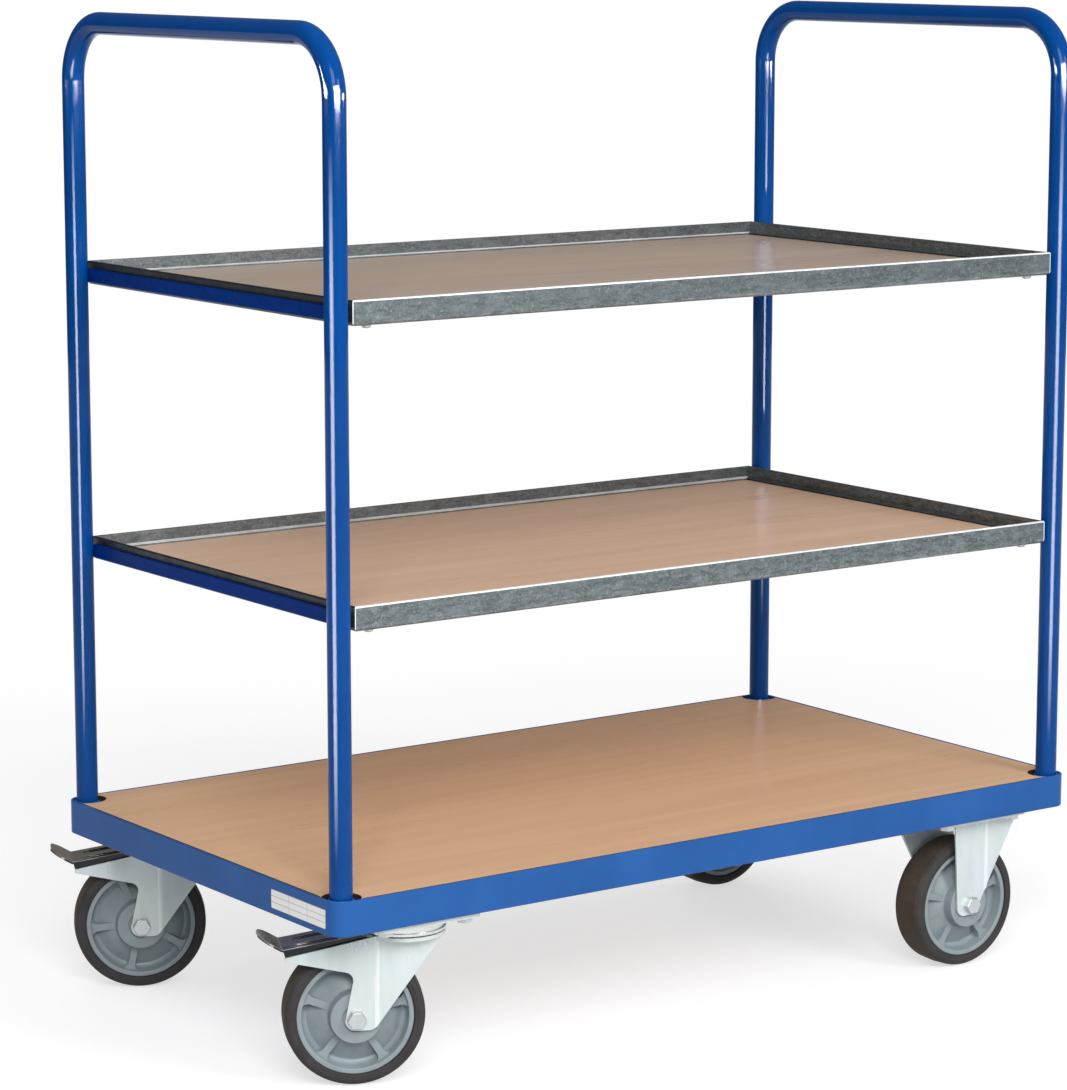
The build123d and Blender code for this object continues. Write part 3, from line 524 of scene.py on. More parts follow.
def wheel_place(castor):
    """Matrix from a wheel about Y at the origin to its place on a castor."""
    joint = JOINTS[f"{castor}_wheel_roll"]
    axle = Vector(joint["axis"]).normalized()
    up = Vector((0, 0, 1))
    ahead = axle.cross(up)
    turn = Matrix((ahead, axle, up)).transposed().to_4x4()
    return Matrix.Translation(joint["pos_m"]) @ turn


# Finishes


def add_node(tree, kind, sockets=(), **settings):
    """Adds a node with its settings, and links or sets its sockets."""
    node = tree.nodes.new(kind)
    for key, value in settings.items():
        setattr(node, key, value)
    for key, value in dict(sockets).items():
        if isinstance(value, bpy.types.NodeSocket):
            tree.links.new(value, node.inputs[key])
        else:
            node.inputs[key].default_value = value
    return node


def new_finish(name, **shader_values):
    """Material with its tree, its shader and the piece's own coordinates."""
    made = bpy.data.materials.new(name)
    made.use_nodes = True
    tree = made.node_tree
    shader = tree.nodes["Principled BSDF"]
    for key, value in shader_values.items():
        shader.inputs[key.replace("_", " ")].default_value = value
    coordinates = add_node(tree, "ShaderNodeTexCoord").outputs["Object"]
    return made, tree, shader, coordinates


def noise(tree, place, scale=1.0, detail=3.0, roughness=0.5, distortion=0.0, stretch=None):
    """Cloudy value from 0 to 1, stretched by axis where the pattern has a direction."""
    if stretch:
        place = add_node(tree, "ShaderNodeMapping", {"Vector": place, "Scale": stretch}).outputs["Vector"]
    node = add_node(tree, "ShaderNodeTexNoise", {"Vector": place, "Scale": scale, "Detail": detail,
                                                 "Roughness": roughness, "Distortion": distortion})
    return node.outputs["Fac"]


def remap(tree, value, bounds, moved=(0.0, 1.0)):
    """Value between two bounds, moved to two others."""
    node = add_node(tree, "ShaderNodeMapRange", {"Value": value, "From Min": bounds[0], "From Max": bounds[1],
                                                 "To Min": moved[0], "To Max": moved[1]})
    return node.outputs["Result"]


def maths(tree, operation, *values):
    """Result of a sum on values and sockets."""
    return add_node(tree, "ShaderNodeMath", enumerate(values), operation=operation).outputs[0]


def blend(tree, share, first, second):
    """Mix of two colours."""
    node = add_node(tree, "ShaderNodeMix", {0: share, 6: first, 7: second}, data_type="RGBA")
    return node.outputs[2]


def shade_of(tone, *factors):
    """Lighter or darker shade of a colour, by one factor or by one for each channel, with its alpha."""
    if len(factors) == 1:
        factors = factors * 3
    return (*(min(1.0, channel * factor) for channel, factor in zip(tone, factors)), 1.0)


def shaded(tree, pattern, bounds, tone, first, second):
    """Colour that goes from one shade of a tone to another as a pattern goes from bound to bound."""
    return blend(tree, remap(tree, pattern, bounds), shade_of(tone, first), shade_of(tone, second))


def cover(tree, shader, tint, roughness=None):
    """Links a colour to the shader, and a roughness if there is one."""
    tree.links.new(tint, shader.inputs["Base Color"])
    if roughness:
        tree.links.new(roughness, shader.inputs["Roughness"])


def bump(tree, shader, height, depth, strength=1.0):
    """Fine relief of a given depth in metres."""
    node = add_node(tree, "ShaderNodeBump", {"Height": height, "Distance": depth, "Strength": strength})
    tree.links.new(node.outputs["Normal"], shader.inputs["Normal"])


def gloss_paint(name, tone, gloss, roughness):
    """Gloss paint with a faint orange peel."""
    made, tree, shader, place = new_finish(name, Specular_IOR_Level=gloss)
    clouds = noise(tree, place, scale=9.0, detail=4.0)
    dulled = remap(tree, noise(tree, place, scale=40.0), (0.3, 0.7), (0.8 * roughness, 1.2 * roughness))
    cover(tree, shader, shaded(tree, clouds, (0.35, 0.65), tone, 0.92, 1.08), dulled)
    bump(tree, shader, noise(tree, place, scale=200.0, detail=1.0), depth=0.000002)
    return made


def galvanised_sheet(name, tone, metal, streaky, gloss=0.5):
    """Zinc-dipped sheet: soft clouds, level streaks and fine bright and dark specks."""
    made, tree, shader, place = new_finish(name, Metallic=metal, Specular_IOR_Level=gloss)
    streaks = noise(tree, place, detail=6.0, roughness=0.75, distortion=0.3, stretch=(60.0, 60.0, 190.0))
    clouds = noise(tree, place, scale=24.0)
    specks = noise(tree, place, scale=330.0, detail=4.0, roughness=0.75)
    clouded = shaded(tree, clouds, (0.35, 0.65), tone, 0.85, 1.15)
    streaked = blend(tree, remap(tree, streaks, (0.42, 0.6), (0.0, streaky)), clouded, shade_of(tone, 0.5))
    bright = blend(tree, remap(tree, specks, (0.54, 0.68), (0.0, 0.9)), streaked, shade_of(tone, 1.7))
    cover(tree, shader, bright, remap(tree, streaks, (0.35, 0.65), (0.3, 0.46)))
    bump(tree, shader, specks, depth=0.00012, strength=0.5)
    return made


def zinc_plate(name, tone):
    """Bright zinc plating: soft clouds with a faint warm cast, and dust along its runs."""
    made, tree, shader, place = new_finish(name, Metallic=0.25)
    clouds = noise(tree, place, scale=16.0, detail=2.0)
    runs = noise(tree, place, stretch=(70.0, 70.0, 14.0))
    warm = shade_of(tone, 1.02, 0.98, 0.9)
    clouded = blend(tree, remap(tree, clouds, (0.3, 0.7)), shade_of(tone, 1.0), warm)
    dusty = blend(tree, remap(tree, runs, (0.45, 0.8), (0.0, 0.5)), clouded, shade_of(tone, 0.8))
    cover(tree, shader, dusty, remap(tree, runs, (0.3, 0.7), (0.26, 0.36)))
    return made


def turned_steel(name, tone):
    """Machined steel of bolts and screws."""
    made, tree, shader, place = new_finish(name, Metallic=0.7)
    clouds = noise(tree, place, scale=200.0, detail=4.0)
    tint = blend(tree, clouds, shade_of(tone, 0.85), shade_of(tone, 1.1))
    cover(tree, shader, tint, remap(tree, clouds, (0.3, 0.7), (0.24, 0.36)))
    return made


def scuffed_chrome(name, tone, metal):
    """Chromed steel with fine scuffs."""
    made, tree, shader, place = new_finish(name, Metallic=metal)
    scuffs = noise(tree, place, scale=3.0, detail=5.0, roughness=0.65, stretch=(40.0, 40.0, 400.0))
    tint = shaded(tree, scuffs, (0.4, 0.7), tone, 1.0, 0.88)
    cover(tree, shader, tint, remap(tree, scuffs, (0.35, 0.7), (0.06, 0.16)))
    return made


def beech_board(name, tone, gloss):
    """Beech decor: broad soft bands, streaks and fine grain along X."""
    made, tree, shader, place = new_finish(name, Specular_IOR_Level=gloss)
    bands = noise(tree, place, scale=1.6, detail=2.0, stretch=(0.8, 8.0, 8.0))
    streaks = noise(tree, place, detail=2.0, stretch=(2.0, 50.0, 50.0))
    grain = noise(tree, place, detail=2.0, stretch=(4.0, 110.0, 110.0))
    warm = shade_of(tone, 0.95, 0.92, 0.89)
    pale = shade_of(tone, 1.05, 1.08, 1.11)
    banded = blend(tree, remap(tree, bands, (0.3, 0.7)), warm, pale)
    streaked = blend(tree, remap(tree, streaks, (0.35, 0.65), (0.0, 0.8)), banded, shade_of(tone, 0.9))
    grained = blend(tree, remap(tree, grain, (0.35, 0.65), (0.0, 0.4)), streaked, shade_of(tone, 0.93))
    cover(tree, shader, grained, remap(tree, bands, (0.3, 0.7), (0.26, 0.32)))
    bump(tree, shader, grain, depth=0.000003)
    return made


def board_edge(name, tone):
    """Raw edge of a board, with its layers of chips."""
    made, tree, shader, place = new_finish(name, Roughness=0.75)
    chips = noise(tree, place, scale=2.0, detail=4.0, roughness=0.7, stretch=(120.0, 120.0, 500.0))
    cover(tree, shader, blend(tree, chips, shade_of(tone, 0.7), shade_of(tone, 1.2)))
    bump(tree, shader, chips, depth=0.0003)
    return made


def rubber(name, tone, roughness):
    """Moulded rubber with a dusty bloom."""
    made, tree, shader, place = new_finish(name, Specular_IOR_Level=0.2)
    bloom = noise(tree, place, scale=45.0, detail=5.0, roughness=0.6)
    dulled = remap(tree, bloom, (0.3, 0.7), (roughness - 0.08, roughness + 0.08))
    cover(tree, shader, shaded(tree, bloom, (0.35, 0.7), tone, 0.85, 1.25), dulled)
    bump(tree, shader, noise(tree, place, scale=900.0, detail=2.0), depth=0.00008)
    return made


def moulded_plastic(name, tone):
    """Moulded plastic with a fine grain and faint flow marks."""
    made, tree, shader, place = new_finish(name)
    flow = noise(tree, place, scale=30.0, distortion=1.2)
    tint = shaded(tree, flow, (0.35, 0.65), tone, 0.94, 1.06)
    cover(tree, shader, tint, remap(tree, flow, (0.3, 0.7), (0.32, 0.44)))
    bump(tree, shader, noise(tree, place, scale=1400.0, detail=2.0), depth=0.00004)
    return made


def ruled_card(name, tone):
    """White label with thin lines round empty fields."""
    made, tree, shader, place = new_finish(name, Roughness=0.4)
    settings = bpy.context.scene
    low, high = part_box("blank_label")
    axes = add_node(tree, "ShaderNodeSeparateXYZ", {"Vector": place}).outputs
    flat = add_node(tree, "ShaderNodeCombineXYZ", {"X": axes["Y"], "Y": axes["Z"]}).outputs["Vector"]
    upright = add_node(tree, "ShaderNodeMapping", {"Vector": flat, "Location": (-low.y, -low.z, 0)})
    rules = add_node(tree, "ShaderNodeTexBrick",
                     {"Vector": upright.outputs["Vector"], "Scale": 1.0, "Color1": shade_of(tone, 1.0),
                      "Color2": shade_of(tone, 0.97),
                      "Mortar": shade_of(settings.trolley_finishes.label_rule, 1.0),
                      "Mortar Size": settings.trolley_details.label_line,
                      "Brick Width": (high.y - low.y) / LABEL_FIELDS,
                      "Row Height": (high.z - low.z) / LABEL_FIELDS}, offset=0.0)
    cover(tree, shader, rules.outputs["Color"])
    return made


# How each finish is made, its material's name, the colour setting it takes, and its own values
RECIPES = {
    "frame_paint": (gloss_paint, "frame_gloss_paint", "frame_paint", {"gloss": 0.08, "roughness": 0.12}),
    "tube_paint": (gloss_paint, "tube_gloss_paint", "tube_paint", {"gloss": 0.12, "roughness": 0.06}),
    # Painted shade: darker blue for the cross bars
    "bar_paint": (gloss_paint, "cross_bar_gloss_paint", "bar_paint", {"gloss": 0.03, "roughness": 0.3}),
    "rail_sheet": (galvanised_sheet, "galvanised_rail_sheet", "galvanised", {"metal": 0.85, "streaky": 0.9}),
    # Painted highlight on the long rails' hems and cut ends
    "rail_fold": (galvanised_sheet, "galvanised_fold_line", "fold_line", {"metal": 0.15, "streaky": 0.15}),
    # Painted shade on the rails' inner walls
    "rail_inside": (galvanised_sheet, "galvanised_rail_inside", "rail_inside",
                    {"metal": 0.7, "streaky": 0.9}),
    # Painted shade on the end rails' outsides
    "rail_end": (galvanised_sheet, "galvanised_end_sheet", "end_sheet", {"metal": 0.7, "streaky": 0.7}),
    # Painted highlight on the long rails' ledges
    "rail_ledge": (galvanised_sheet, "galvanised_ledge", "fold_line",
                   {"metal": 0.0, "streaky": 0.0, "gloss": 0.05}),
    "zinc_plate": (zinc_plate, "zinc_plating", "zinc", {}),
    # Painted highlight on the castors' edges and creases
    "zinc_edge": (zinc_plate, "zinc_edge_plating", "zinc_edge", {}),
    "bright_steel": (turned_steel, "turned_steel", "bright_steel", {}),
    # Warm cast of the tread is a painted reflection of the beech
    "pedal_tread": (scuffed_chrome, "pedal_tread_plating", "chrome", {"metal": 0.9}),
    # Painted highlight on the pedals' edges
    "pedal_edge": (scuffed_chrome, "pedal_edge_plating", "chrome_edge_highlight", {"metal": 0.6}),
    # Painted reflection: dark sides of the pedals
    "pedal_side": (scuffed_chrome, "pedal_side_plating", "chrome_side_dark_reflection", {"metal": 1.0}),
    "race_chrome": (scuffed_chrome, "race_housing_plating", "race", {"metal": 0.95}),
    "deck_beech": (beech_board, "deck_beech", "deck_beech", {"gloss": 0.14}),
    # Lower board lightened and upper board greyed: painted light
    "lower_beech": (beech_board, "lower_shelf_beech", "lower_beech", {"gloss": 0.45}),
    "upper_beech": (beech_board, "upper_shelf_beech", "upper_beech", {"gloss": 0.45}),
    # Raw edge darkened as painted shade
    "board_edge": (board_edge, "board_edge", "raw_edge_in_shade", {}),
    "tyre_side": (rubber, "tyre_side", "tyre_side", {"roughness": 0.66}),
    "tyre_tread": (rubber, "tyre_tread", "tyre_tread", {"roughness": 0.75}),
    "brake_rubber": (rubber, "shoe_rubber", "brake_rubber", {"roughness": 0.6}),
    "rim_plastic": (moulded_plastic, "rim_moulding", "rim_plastic", {}),
    "bush_plastic": (moulded_plastic, "bush_moulding", "bush_plastic", {}),
    "label_card": (ruled_card, "ruled_label", "label_card", {}),
}
FINISHES = {}


def finish(name):
    """Finish by name, made the first time it is asked for."""
    if name not in FINISHES:
        make, title, tone, values = RECIPES[name]
        FINISHES[name] = make(title, getattr(bpy.context.scene.trolley_finishes, tone), **values)
    return FINISHES[name]


# Pieces


class TROLLEY_OT_base_frame(bpy.types.Operator):
    """Models the welded base frame: outer band, ledges and flanges, corner sleeves and weld beads"""
    bl_idname = "trolley.base_frame"
    bl_label = "Base Frame"

    def execute(self, context):
        details = context.scene.trolley_details
        base = join([self.band(details), self.ledges(details)])
        sleeves = join([self.sleeve(Vector(corner), details) for corner in CORNERS])
        sleeves.name = "corner_sleeves"
        for piece, nodes in ((base, ("front_rail", "rear_rail", "left_end_rail", "right_end_rail")),
                             (sleeves, ("corner_sockets",))):
            smooth(piece)
            give_finishes(piece, finish("frame_paint"))
            dress(piece, "blue_paint", "chassis", *nodes)
        for node in ("swivel_cross_member", "fixed_cross_member", "deck_bearer"):
            dress_copy(node, "blue_paint", details.fine_edge, 2, finish("frame_paint"))
        return {"FINISHED"}

    def band(self, details):
        """Upright outer wall with round corners."""
        deselect()
        bpy.ops.mesh.primitive_plane_add(size=2, location=(0, 0, FRAME_BOTTOM))
        bpy.context.object.scale = (FRAME_X, FRAME_Y, 1)
        band = begin("base_frame")
        start_editing(band, "SELECT")
        bpy.ops.mesh.bevel(offset=FRAME_CORNER, offset_type="OFFSET", segments=details.frame_steps,
                           affect="VERTICES")
        select_whole()
        bpy.ops.mesh.delete(type="ONLY_FACE")
        select_whole()
        extrude((0, 0, FRAME_TOP - FRAME_BOTTOM))
        face_outwards()
        stop_editing()
        apply_modifier(band, "SOLIDIFY", thickness=details.frame_wall, offset=-1.0, use_even_offset=True)
        round_edges(band, details.paint_edge, segments=3, degrees=40)
        return band

    def ledges(self, details):
        """Ledge for the deck and bottom flange on all four sides."""
        wall = details.frame_wall
        end_x = UPRIGHT_X - FRAME_CORNER + wall
        end_y = UPRIGHT_Y - FRAME_CORNER + wall
        strips = []
        for bottom in (FRAME_BOTTOM, DECK_BOTTOM - wall):
            for side in (-1, 1):
                x = sorted(side * (FRAME_X - wall - inset) for inset in (0.0, details.frame_flange))
                y = sorted(side * (FRAME_Y - wall - inset) for inset in (0.0, details.frame_flange))
                strips.append(block("strip", (-end_x, y[0], bottom), (end_x, y[1], bottom + wall)))
                strips.append(block("strip", (x[0], -end_y, bottom), (x[1], end_y, bottom + wall)))
        ledges = join(strips)
        round_edges(ledges, details.fine_edge)
        return ledges

    def sleeve(self, corner, details):
        """Cup and collar that hold a tube's foot, with weld beads round the tube and on the corner."""
        bead = details.weld_bead
        collar_top = FRAME_TOP - details.collar_drop
        cup = (FRAME_CORNER - details.frame_wall, FRAME_BOTTOM, DECK_BOTTOM, details.fine_edge)
        collar = (TUBE_RADIUS + details.collar_wall, DECK_BOTTOM, collar_top, details.paint_edge)
        pieces = []
        for radius, bottom, top, edge in (cup, collar):
            foot = corner + Vector((0, 0, bottom))
            piece = post("sleeve", details.sleeve_sides, radius, foot, top - bottom)
            round_edges(piece, edge)
            pieces.append(piece)

        quarter = pi / 2
        outside = atan2(corner.y, corner.x) // quarter * quarter % (2 * pi)
        around_tube = (TUBE_RADIUS, collar_top, 0.0, 2 * pi, 40)
        on_corner = (TUBE_RADIUS + bead / 2, FRAME_TOP - 1.5 * bead, outside, quarter, 14)
        for radius, height, start, turn, steps in (around_tube, on_corner):
            place = corner + Vector((radius * cos(start), radius * sin(start), height))
            weld = circle("weld", details.bead_sides, bead, place, (pi / 2, 0, start))
            start_editing(weld, "SELECT")
            bpy.ops.mesh.spin(steps=steps, angle=-turn, center=corner, axis=(0, 0, 1))
            stop_editing()
            close_up(weld)
            pieces.append(weld)
        return join(pieces)


class TROLLEY_OT_end_bars(bpy.types.Operator):
    """Bends the two end bars from round tube"""
    bl_idname = "trolley.end_bars"
    bl_label = "End Bars"

    def execute(self, context):
        details = context.scene.trolley_details
        bend_y = UPRIGHT_Y - details.handle_bend
        bend_z = BAR_TOP - details.handle_bend
        rise = bend_z - BAR_FOOT
        tube = circle("end_bar", details.tube_sides, TUBE_RADIUS, (0, -UPRIGHT_Y, BAR_FOOT))
        start_editing(tube, "SELECT")
        for way, y in (((0, 0, rise), -bend_y), ((0, 2 * bend_y, 0), bend_y)):
            extrude(way)
            bpy.ops.mesh.spin(steps=details.bend_steps, angle=pi / 2, axis=(1, 0, 0), center=(0, y, bend_z))
        extrude((0, 0, -rise))
        stop_editing()
        close_up(tube)
        smooth(tube)
        for side, x in (("left", -UPRIGHT_X), ("right", UPRIGHT_X)):
            bar = placed_copy(tube, f"{side}_end_bar_tube", Matrix.Translation((x, 0, 0)))
            give_finishes(bar, finish("tube_paint"))
            dress(bar, "blue_paint", "chassis", f"{side}_end_bar")
        bpy.data.objects.remove(tube)
        return {"FINISHED"}


class TROLLEY_OT_cross_bars(bpy.types.Operator):
    """Finishes the flat cross bars, in the frame's blue darkened as painted shade, and their weld beads"""
    bl_idname = "trolley.cross_bars"
    bl_label = "Cross Bars"

    def execute(self, context):
        details = context.scene.trolley_details
        bead = details.weld_bead
        for side in ("left", "right"):
            for shelf in SHELF_HEIGHTS:
                node = f"{side}_{shelf}_cross_bar"
                # The cross bars take the blue darkened as painted shade
                pieces = [dress_copy(node, "blue_paint", details.fine_edge, 3, finish("bar_paint"))]
                low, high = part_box(node)
                outer_x = high.x if side == "right" else low.x
                for y in (low.y, high.y):
                    weld = post("weld", details.bead_sides, bead, (outer_x, y, low.z), high.z - low.z)
                    round_edges(weld, bead / 2, degrees=40)
                    smooth(weld)
                    pieces.append(weld)
                join(pieces)
        return {"FINISHED"}


class TROLLEY_OT_deck(bpy.types.Operator):
    """Finishes the deck board with rounded, raw edges, darkened as painted shade"""
    bl_idname = "trolley.deck"
    bl_label = "Deck"

    def execute(self, context):
        details = context.scene.trolley_details
        board = dress_copy("deck_board", "beech_board", details.board_edge, 3,
                           finish("deck_beech"), finish("board_edge"))
        upright = 0.75  # share of a normal along Z from which a face has the decor
        # Edges take the raw edge darkened as painted shade
        for face in board.data.polygons:
            face.material_index = 0 if abs(face.normal.z) > upright else 1
        return {"FINISHED"}


class TROLLEY_OT_shelves(bpy.types.Operator):
    """Folds the shelf rails from sheet, mitres them and finishes the boards"""
    bl_idname = "trolley.shelves"
    bl_label = "Shelves"

    def execute(self, context):
        details = context.scene.trolley_details
        long_rail = self.rail("long_rail", SHELF_END, details, polished=True)
        end_rail = self.rail("end_rail", SHELF_SIDE, details, polished=False)
        half_turn = Matrix.Rotation(pi, 4, "Z")
        quarter = Matrix.Rotation(pi / 2, 4, "Z")
        for shelf, height in SHELF_HEIGHTS.items():
            lift = Matrix.Translation((0, 0, height))
            front = lift @ Matrix.Translation((0, -SHELF_SIDE, 0))
            right = quarter @ lift @ Matrix.Translation((0, -SHELF_END, 0))
            for side, place in (("front", front), ("rear", half_turn @ front)):
                rail = placed_copy(long_rail, f"{shelf}_shelf_{side}_sheet", place)
                dress(rail, "galvanised_sheet", "chassis", f"{shelf}_shelf_{side}_rail")
            ends = join([placed_copy(end_rail, f"{shelf}_shelf_end_sheets", place)
                         for place in (right, half_turn @ right)])
            dress(ends, "galvanised_sheet", "chassis", f"{shelf}_shelf_end_rails")
            # Each shelf's board takes its lightened or greyed copy of the beech, as painted light
            give_finishes(frame["nodes"][f"{shelf}_shelf_panel"], finish(f"{shelf}_beech"))
        bpy.data.objects.remove(long_rail)
        bpy.data.objects.remove(end_rail)
        return {"FINISHED"}

    def rail(self, name, half_length, details, polished):
        """Rail along X: outer face at y = 0, rim's top at z = 0, with mitred ends."""
        sheet = details.shelf_sheet
        middle = sheet / 2
        corner = 0.75 * sheet
        inner = 1.5 * sheet
        ledge = details.shelf_ledge + 2 * sheet
        ledge_z = -details.shelf_rise - middle
        fold = details.shelf_fold - middle
        end_band = half_length - 0.6 * sheet
        runs = [ledge - inner - corner, (corner, -90), -sheet - ledge_z - corner, (middle, 180),
                RAIL_HEIGHT - sheet - middle - fold, (fold, 90), RAIL_FLANGE - middle - fold]
        strip = folded_strip(name, half_length, corner=(ledge, ledge_z), heading=180, runs=runs,
                             bend_steps=details.fold_steps)
        apply_modifier(strip, "SOLIDIFY", thickness=0.97 * sheet, offset=0.0)
        start_editing(strip)
        for side in (-1, 1):
            cut_across((side * half_length, 0, 0), (side, 1, 0), use_fill=True, clear_outer=True)
        for side in (-1, 1):
            cut_across((side * end_band, 0, 0), (side, 0, 0))
        stop_editing()
        close_up(strip)
        smooth(strip)
        self.coat_rail(strip, half_length, ledge_z, sheet, polished)
        return strip

    def coat_rail(self, rail, half_length, ledge_z, sheet, polished):
        """Gives a rail its finishes: a long rail has a painted highlight on its hem, its cut ends and its
        ledge; inner walls and an end rail's ledge take painted shade, and an end rail's outside and hem are
        painted dark as shade.
        """
        coats = ("sheet", "fold", "inside", "end", "ledge")
        give_finishes(rail, *(finish(f"rail_{coat}") for coat in coats))
        for face in rail.data.polygons:
            x, y, z = face.center
            hem = z > -1.3 * sheet and y < sheet
            cut = abs(x) > half_length - 0.7 * sheet
            on_ledge = abs(z - ledge_z) < sheet and face.normal.z > 0.5
            # Painted highlight: near-white sheet on a long rail's ledge, hem and cut ends
            if polished and on_ledge:
                coat = "ledge"
            elif polished and (cut or hem):
                coat = "fold"
            # Painted shade: duller sheet on the inner walls, and on an end rail's ledge
            elif on_ledge or (y > sheet and z > ledge_z):
                coat = "inside"
            # A long rail's other faces take the plain sheet; an end rail's outside and hem take the dark
            # sheet as painted shade
            else:
                coat = "sheet" if polished else "end"
            face.material_index = coats.index(coat)


class TROLLEY_OT_castor_heads(bpy.types.Operator):
    """Finishes the castor plates, ball races and king bolts"""
    bl_idname = "trolley.castor_heads"
    bl_label = "Castor Heads"

    def execute(self, context):
        details = context.scene.trolley_details
        plate_bottom = FRAME_BOTTOM - details.plate_thickness
        upright = 0.95  # share of a normal along Z from which a face is level
        for castor in SWIVEL_CASTORS:
            # The plates' rounded edges take a painted highlight
            plate = dress_copy(f"{castor}_top_plate", "zinc_steel", details.press_edge, 2,
                               finish("zinc_plate"), finish("zinc_edge"), finish("race_chrome"))
            coat_faces(plate, 2, lambda face: face.center.z < plate_bottom and abs(face.normal.z) < upright)
        for node in ("swivel_balls", "king_bolts"):
            give_finishes(frame["nodes"][node], finish("bright_steel"))
        return {"FINISHED"}


class TROLLEY_OT_forks(bpy.types.Operator):
    """Finishes the pressed forks of all castors"""
    bl_idname = "trolley.forks"
    bl_label = "Forks"

    def execute(self, context):
        details = context.scene.trolley_details
        for castor in CASTORS:
            # The forks' rounded edges take a painted highlight
            fork = dress_copy(f"{castor}_fork", "zinc_steel", details.press_edge, 3,
                              finish("zinc_plate"), finish("zinc_edge"))
            across = details.crease_swivel if castor in SWIVEL_CASTORS else details.crease_fixed
            self.crease(fork, wheel_place(castor), across, details)
        return {"FINISHED"}

    def crease(self, fork, axle, across, details):
        """Presses an upright ridge into the outer face of both legs, with a painted highlight along it."""
        ahead, outward, _ = axle.to_3x3().col
        middle = axle.translation + ahead * across
        half = details.crease_width / 2
        start_editing(fork)
        for offset in (-half, 0.0, half):
            cut_across(middle + ahead * offset, ahead)
        for side in (-1, 1):
            select_where(fork, "verts", lambda vert: abs((vert.co - middle).dot(ahead)) < NEAR
                         and abs(side * (vert.co - middle).dot(outward) - details.fork_face) < 2 * NEAR_FACE)
            bpy.ops.transform.translate(value=outward * side * details.crease_height)
        stop_editing()
        ridge = details.fork_face + details.crease_height
        # Painted highlight on the ridge
        coat_faces(fork, 1, lambda face: abs((face.center - middle).dot(ahead)) < half
                   and details.fork_face < abs((face.center - middle).dot(outward)) < ridge)
        smooth(fork)


class TROLLEY_OT_brakes(bpy.types.Operator):
    """Finishes the brake pedals, their pins and shoes"""
    bl_idname = "trolley.brakes"
    bl_label = "Brakes"

    def execute(self, context):
        details = context.scene.trolley_details
        sideways = 0.8  # share of a normal across a pedal from which a face is its side
        for castor in SWIVEL_CASTORS:
            # The pedals' rounded edges take a painted highlight
            pedal = dress_copy(f"{castor}_pedal", "pedal_chrome", details.press_edge, 3,
                               finish("pedal_tread"), finish("pedal_edge"), finish("pedal_side"))
            axle = wheel_place(castor)
            ahead, across, _ = axle.to_3x3().col
            # Painted reflection: the pedals' sides, back from the toe, take the dark plating
            coat_faces(pedal, 2, lambda face: face.material_index == 0
                       and abs(face.normal.dot(across)) > sideways
                       and (face.center - axle.translation).dot(ahead) < details.toe_start)
            dress_copy(f"{castor}_brake_shoe", "brake_rubber", details.press_edge, 3, finish("brake_rubber"))
            dress_copy(f"{castor}_pedal_pin", "bright_steel", details.fine_edge, 2, finish("bright_steel"))
        return {"FINISHED"}


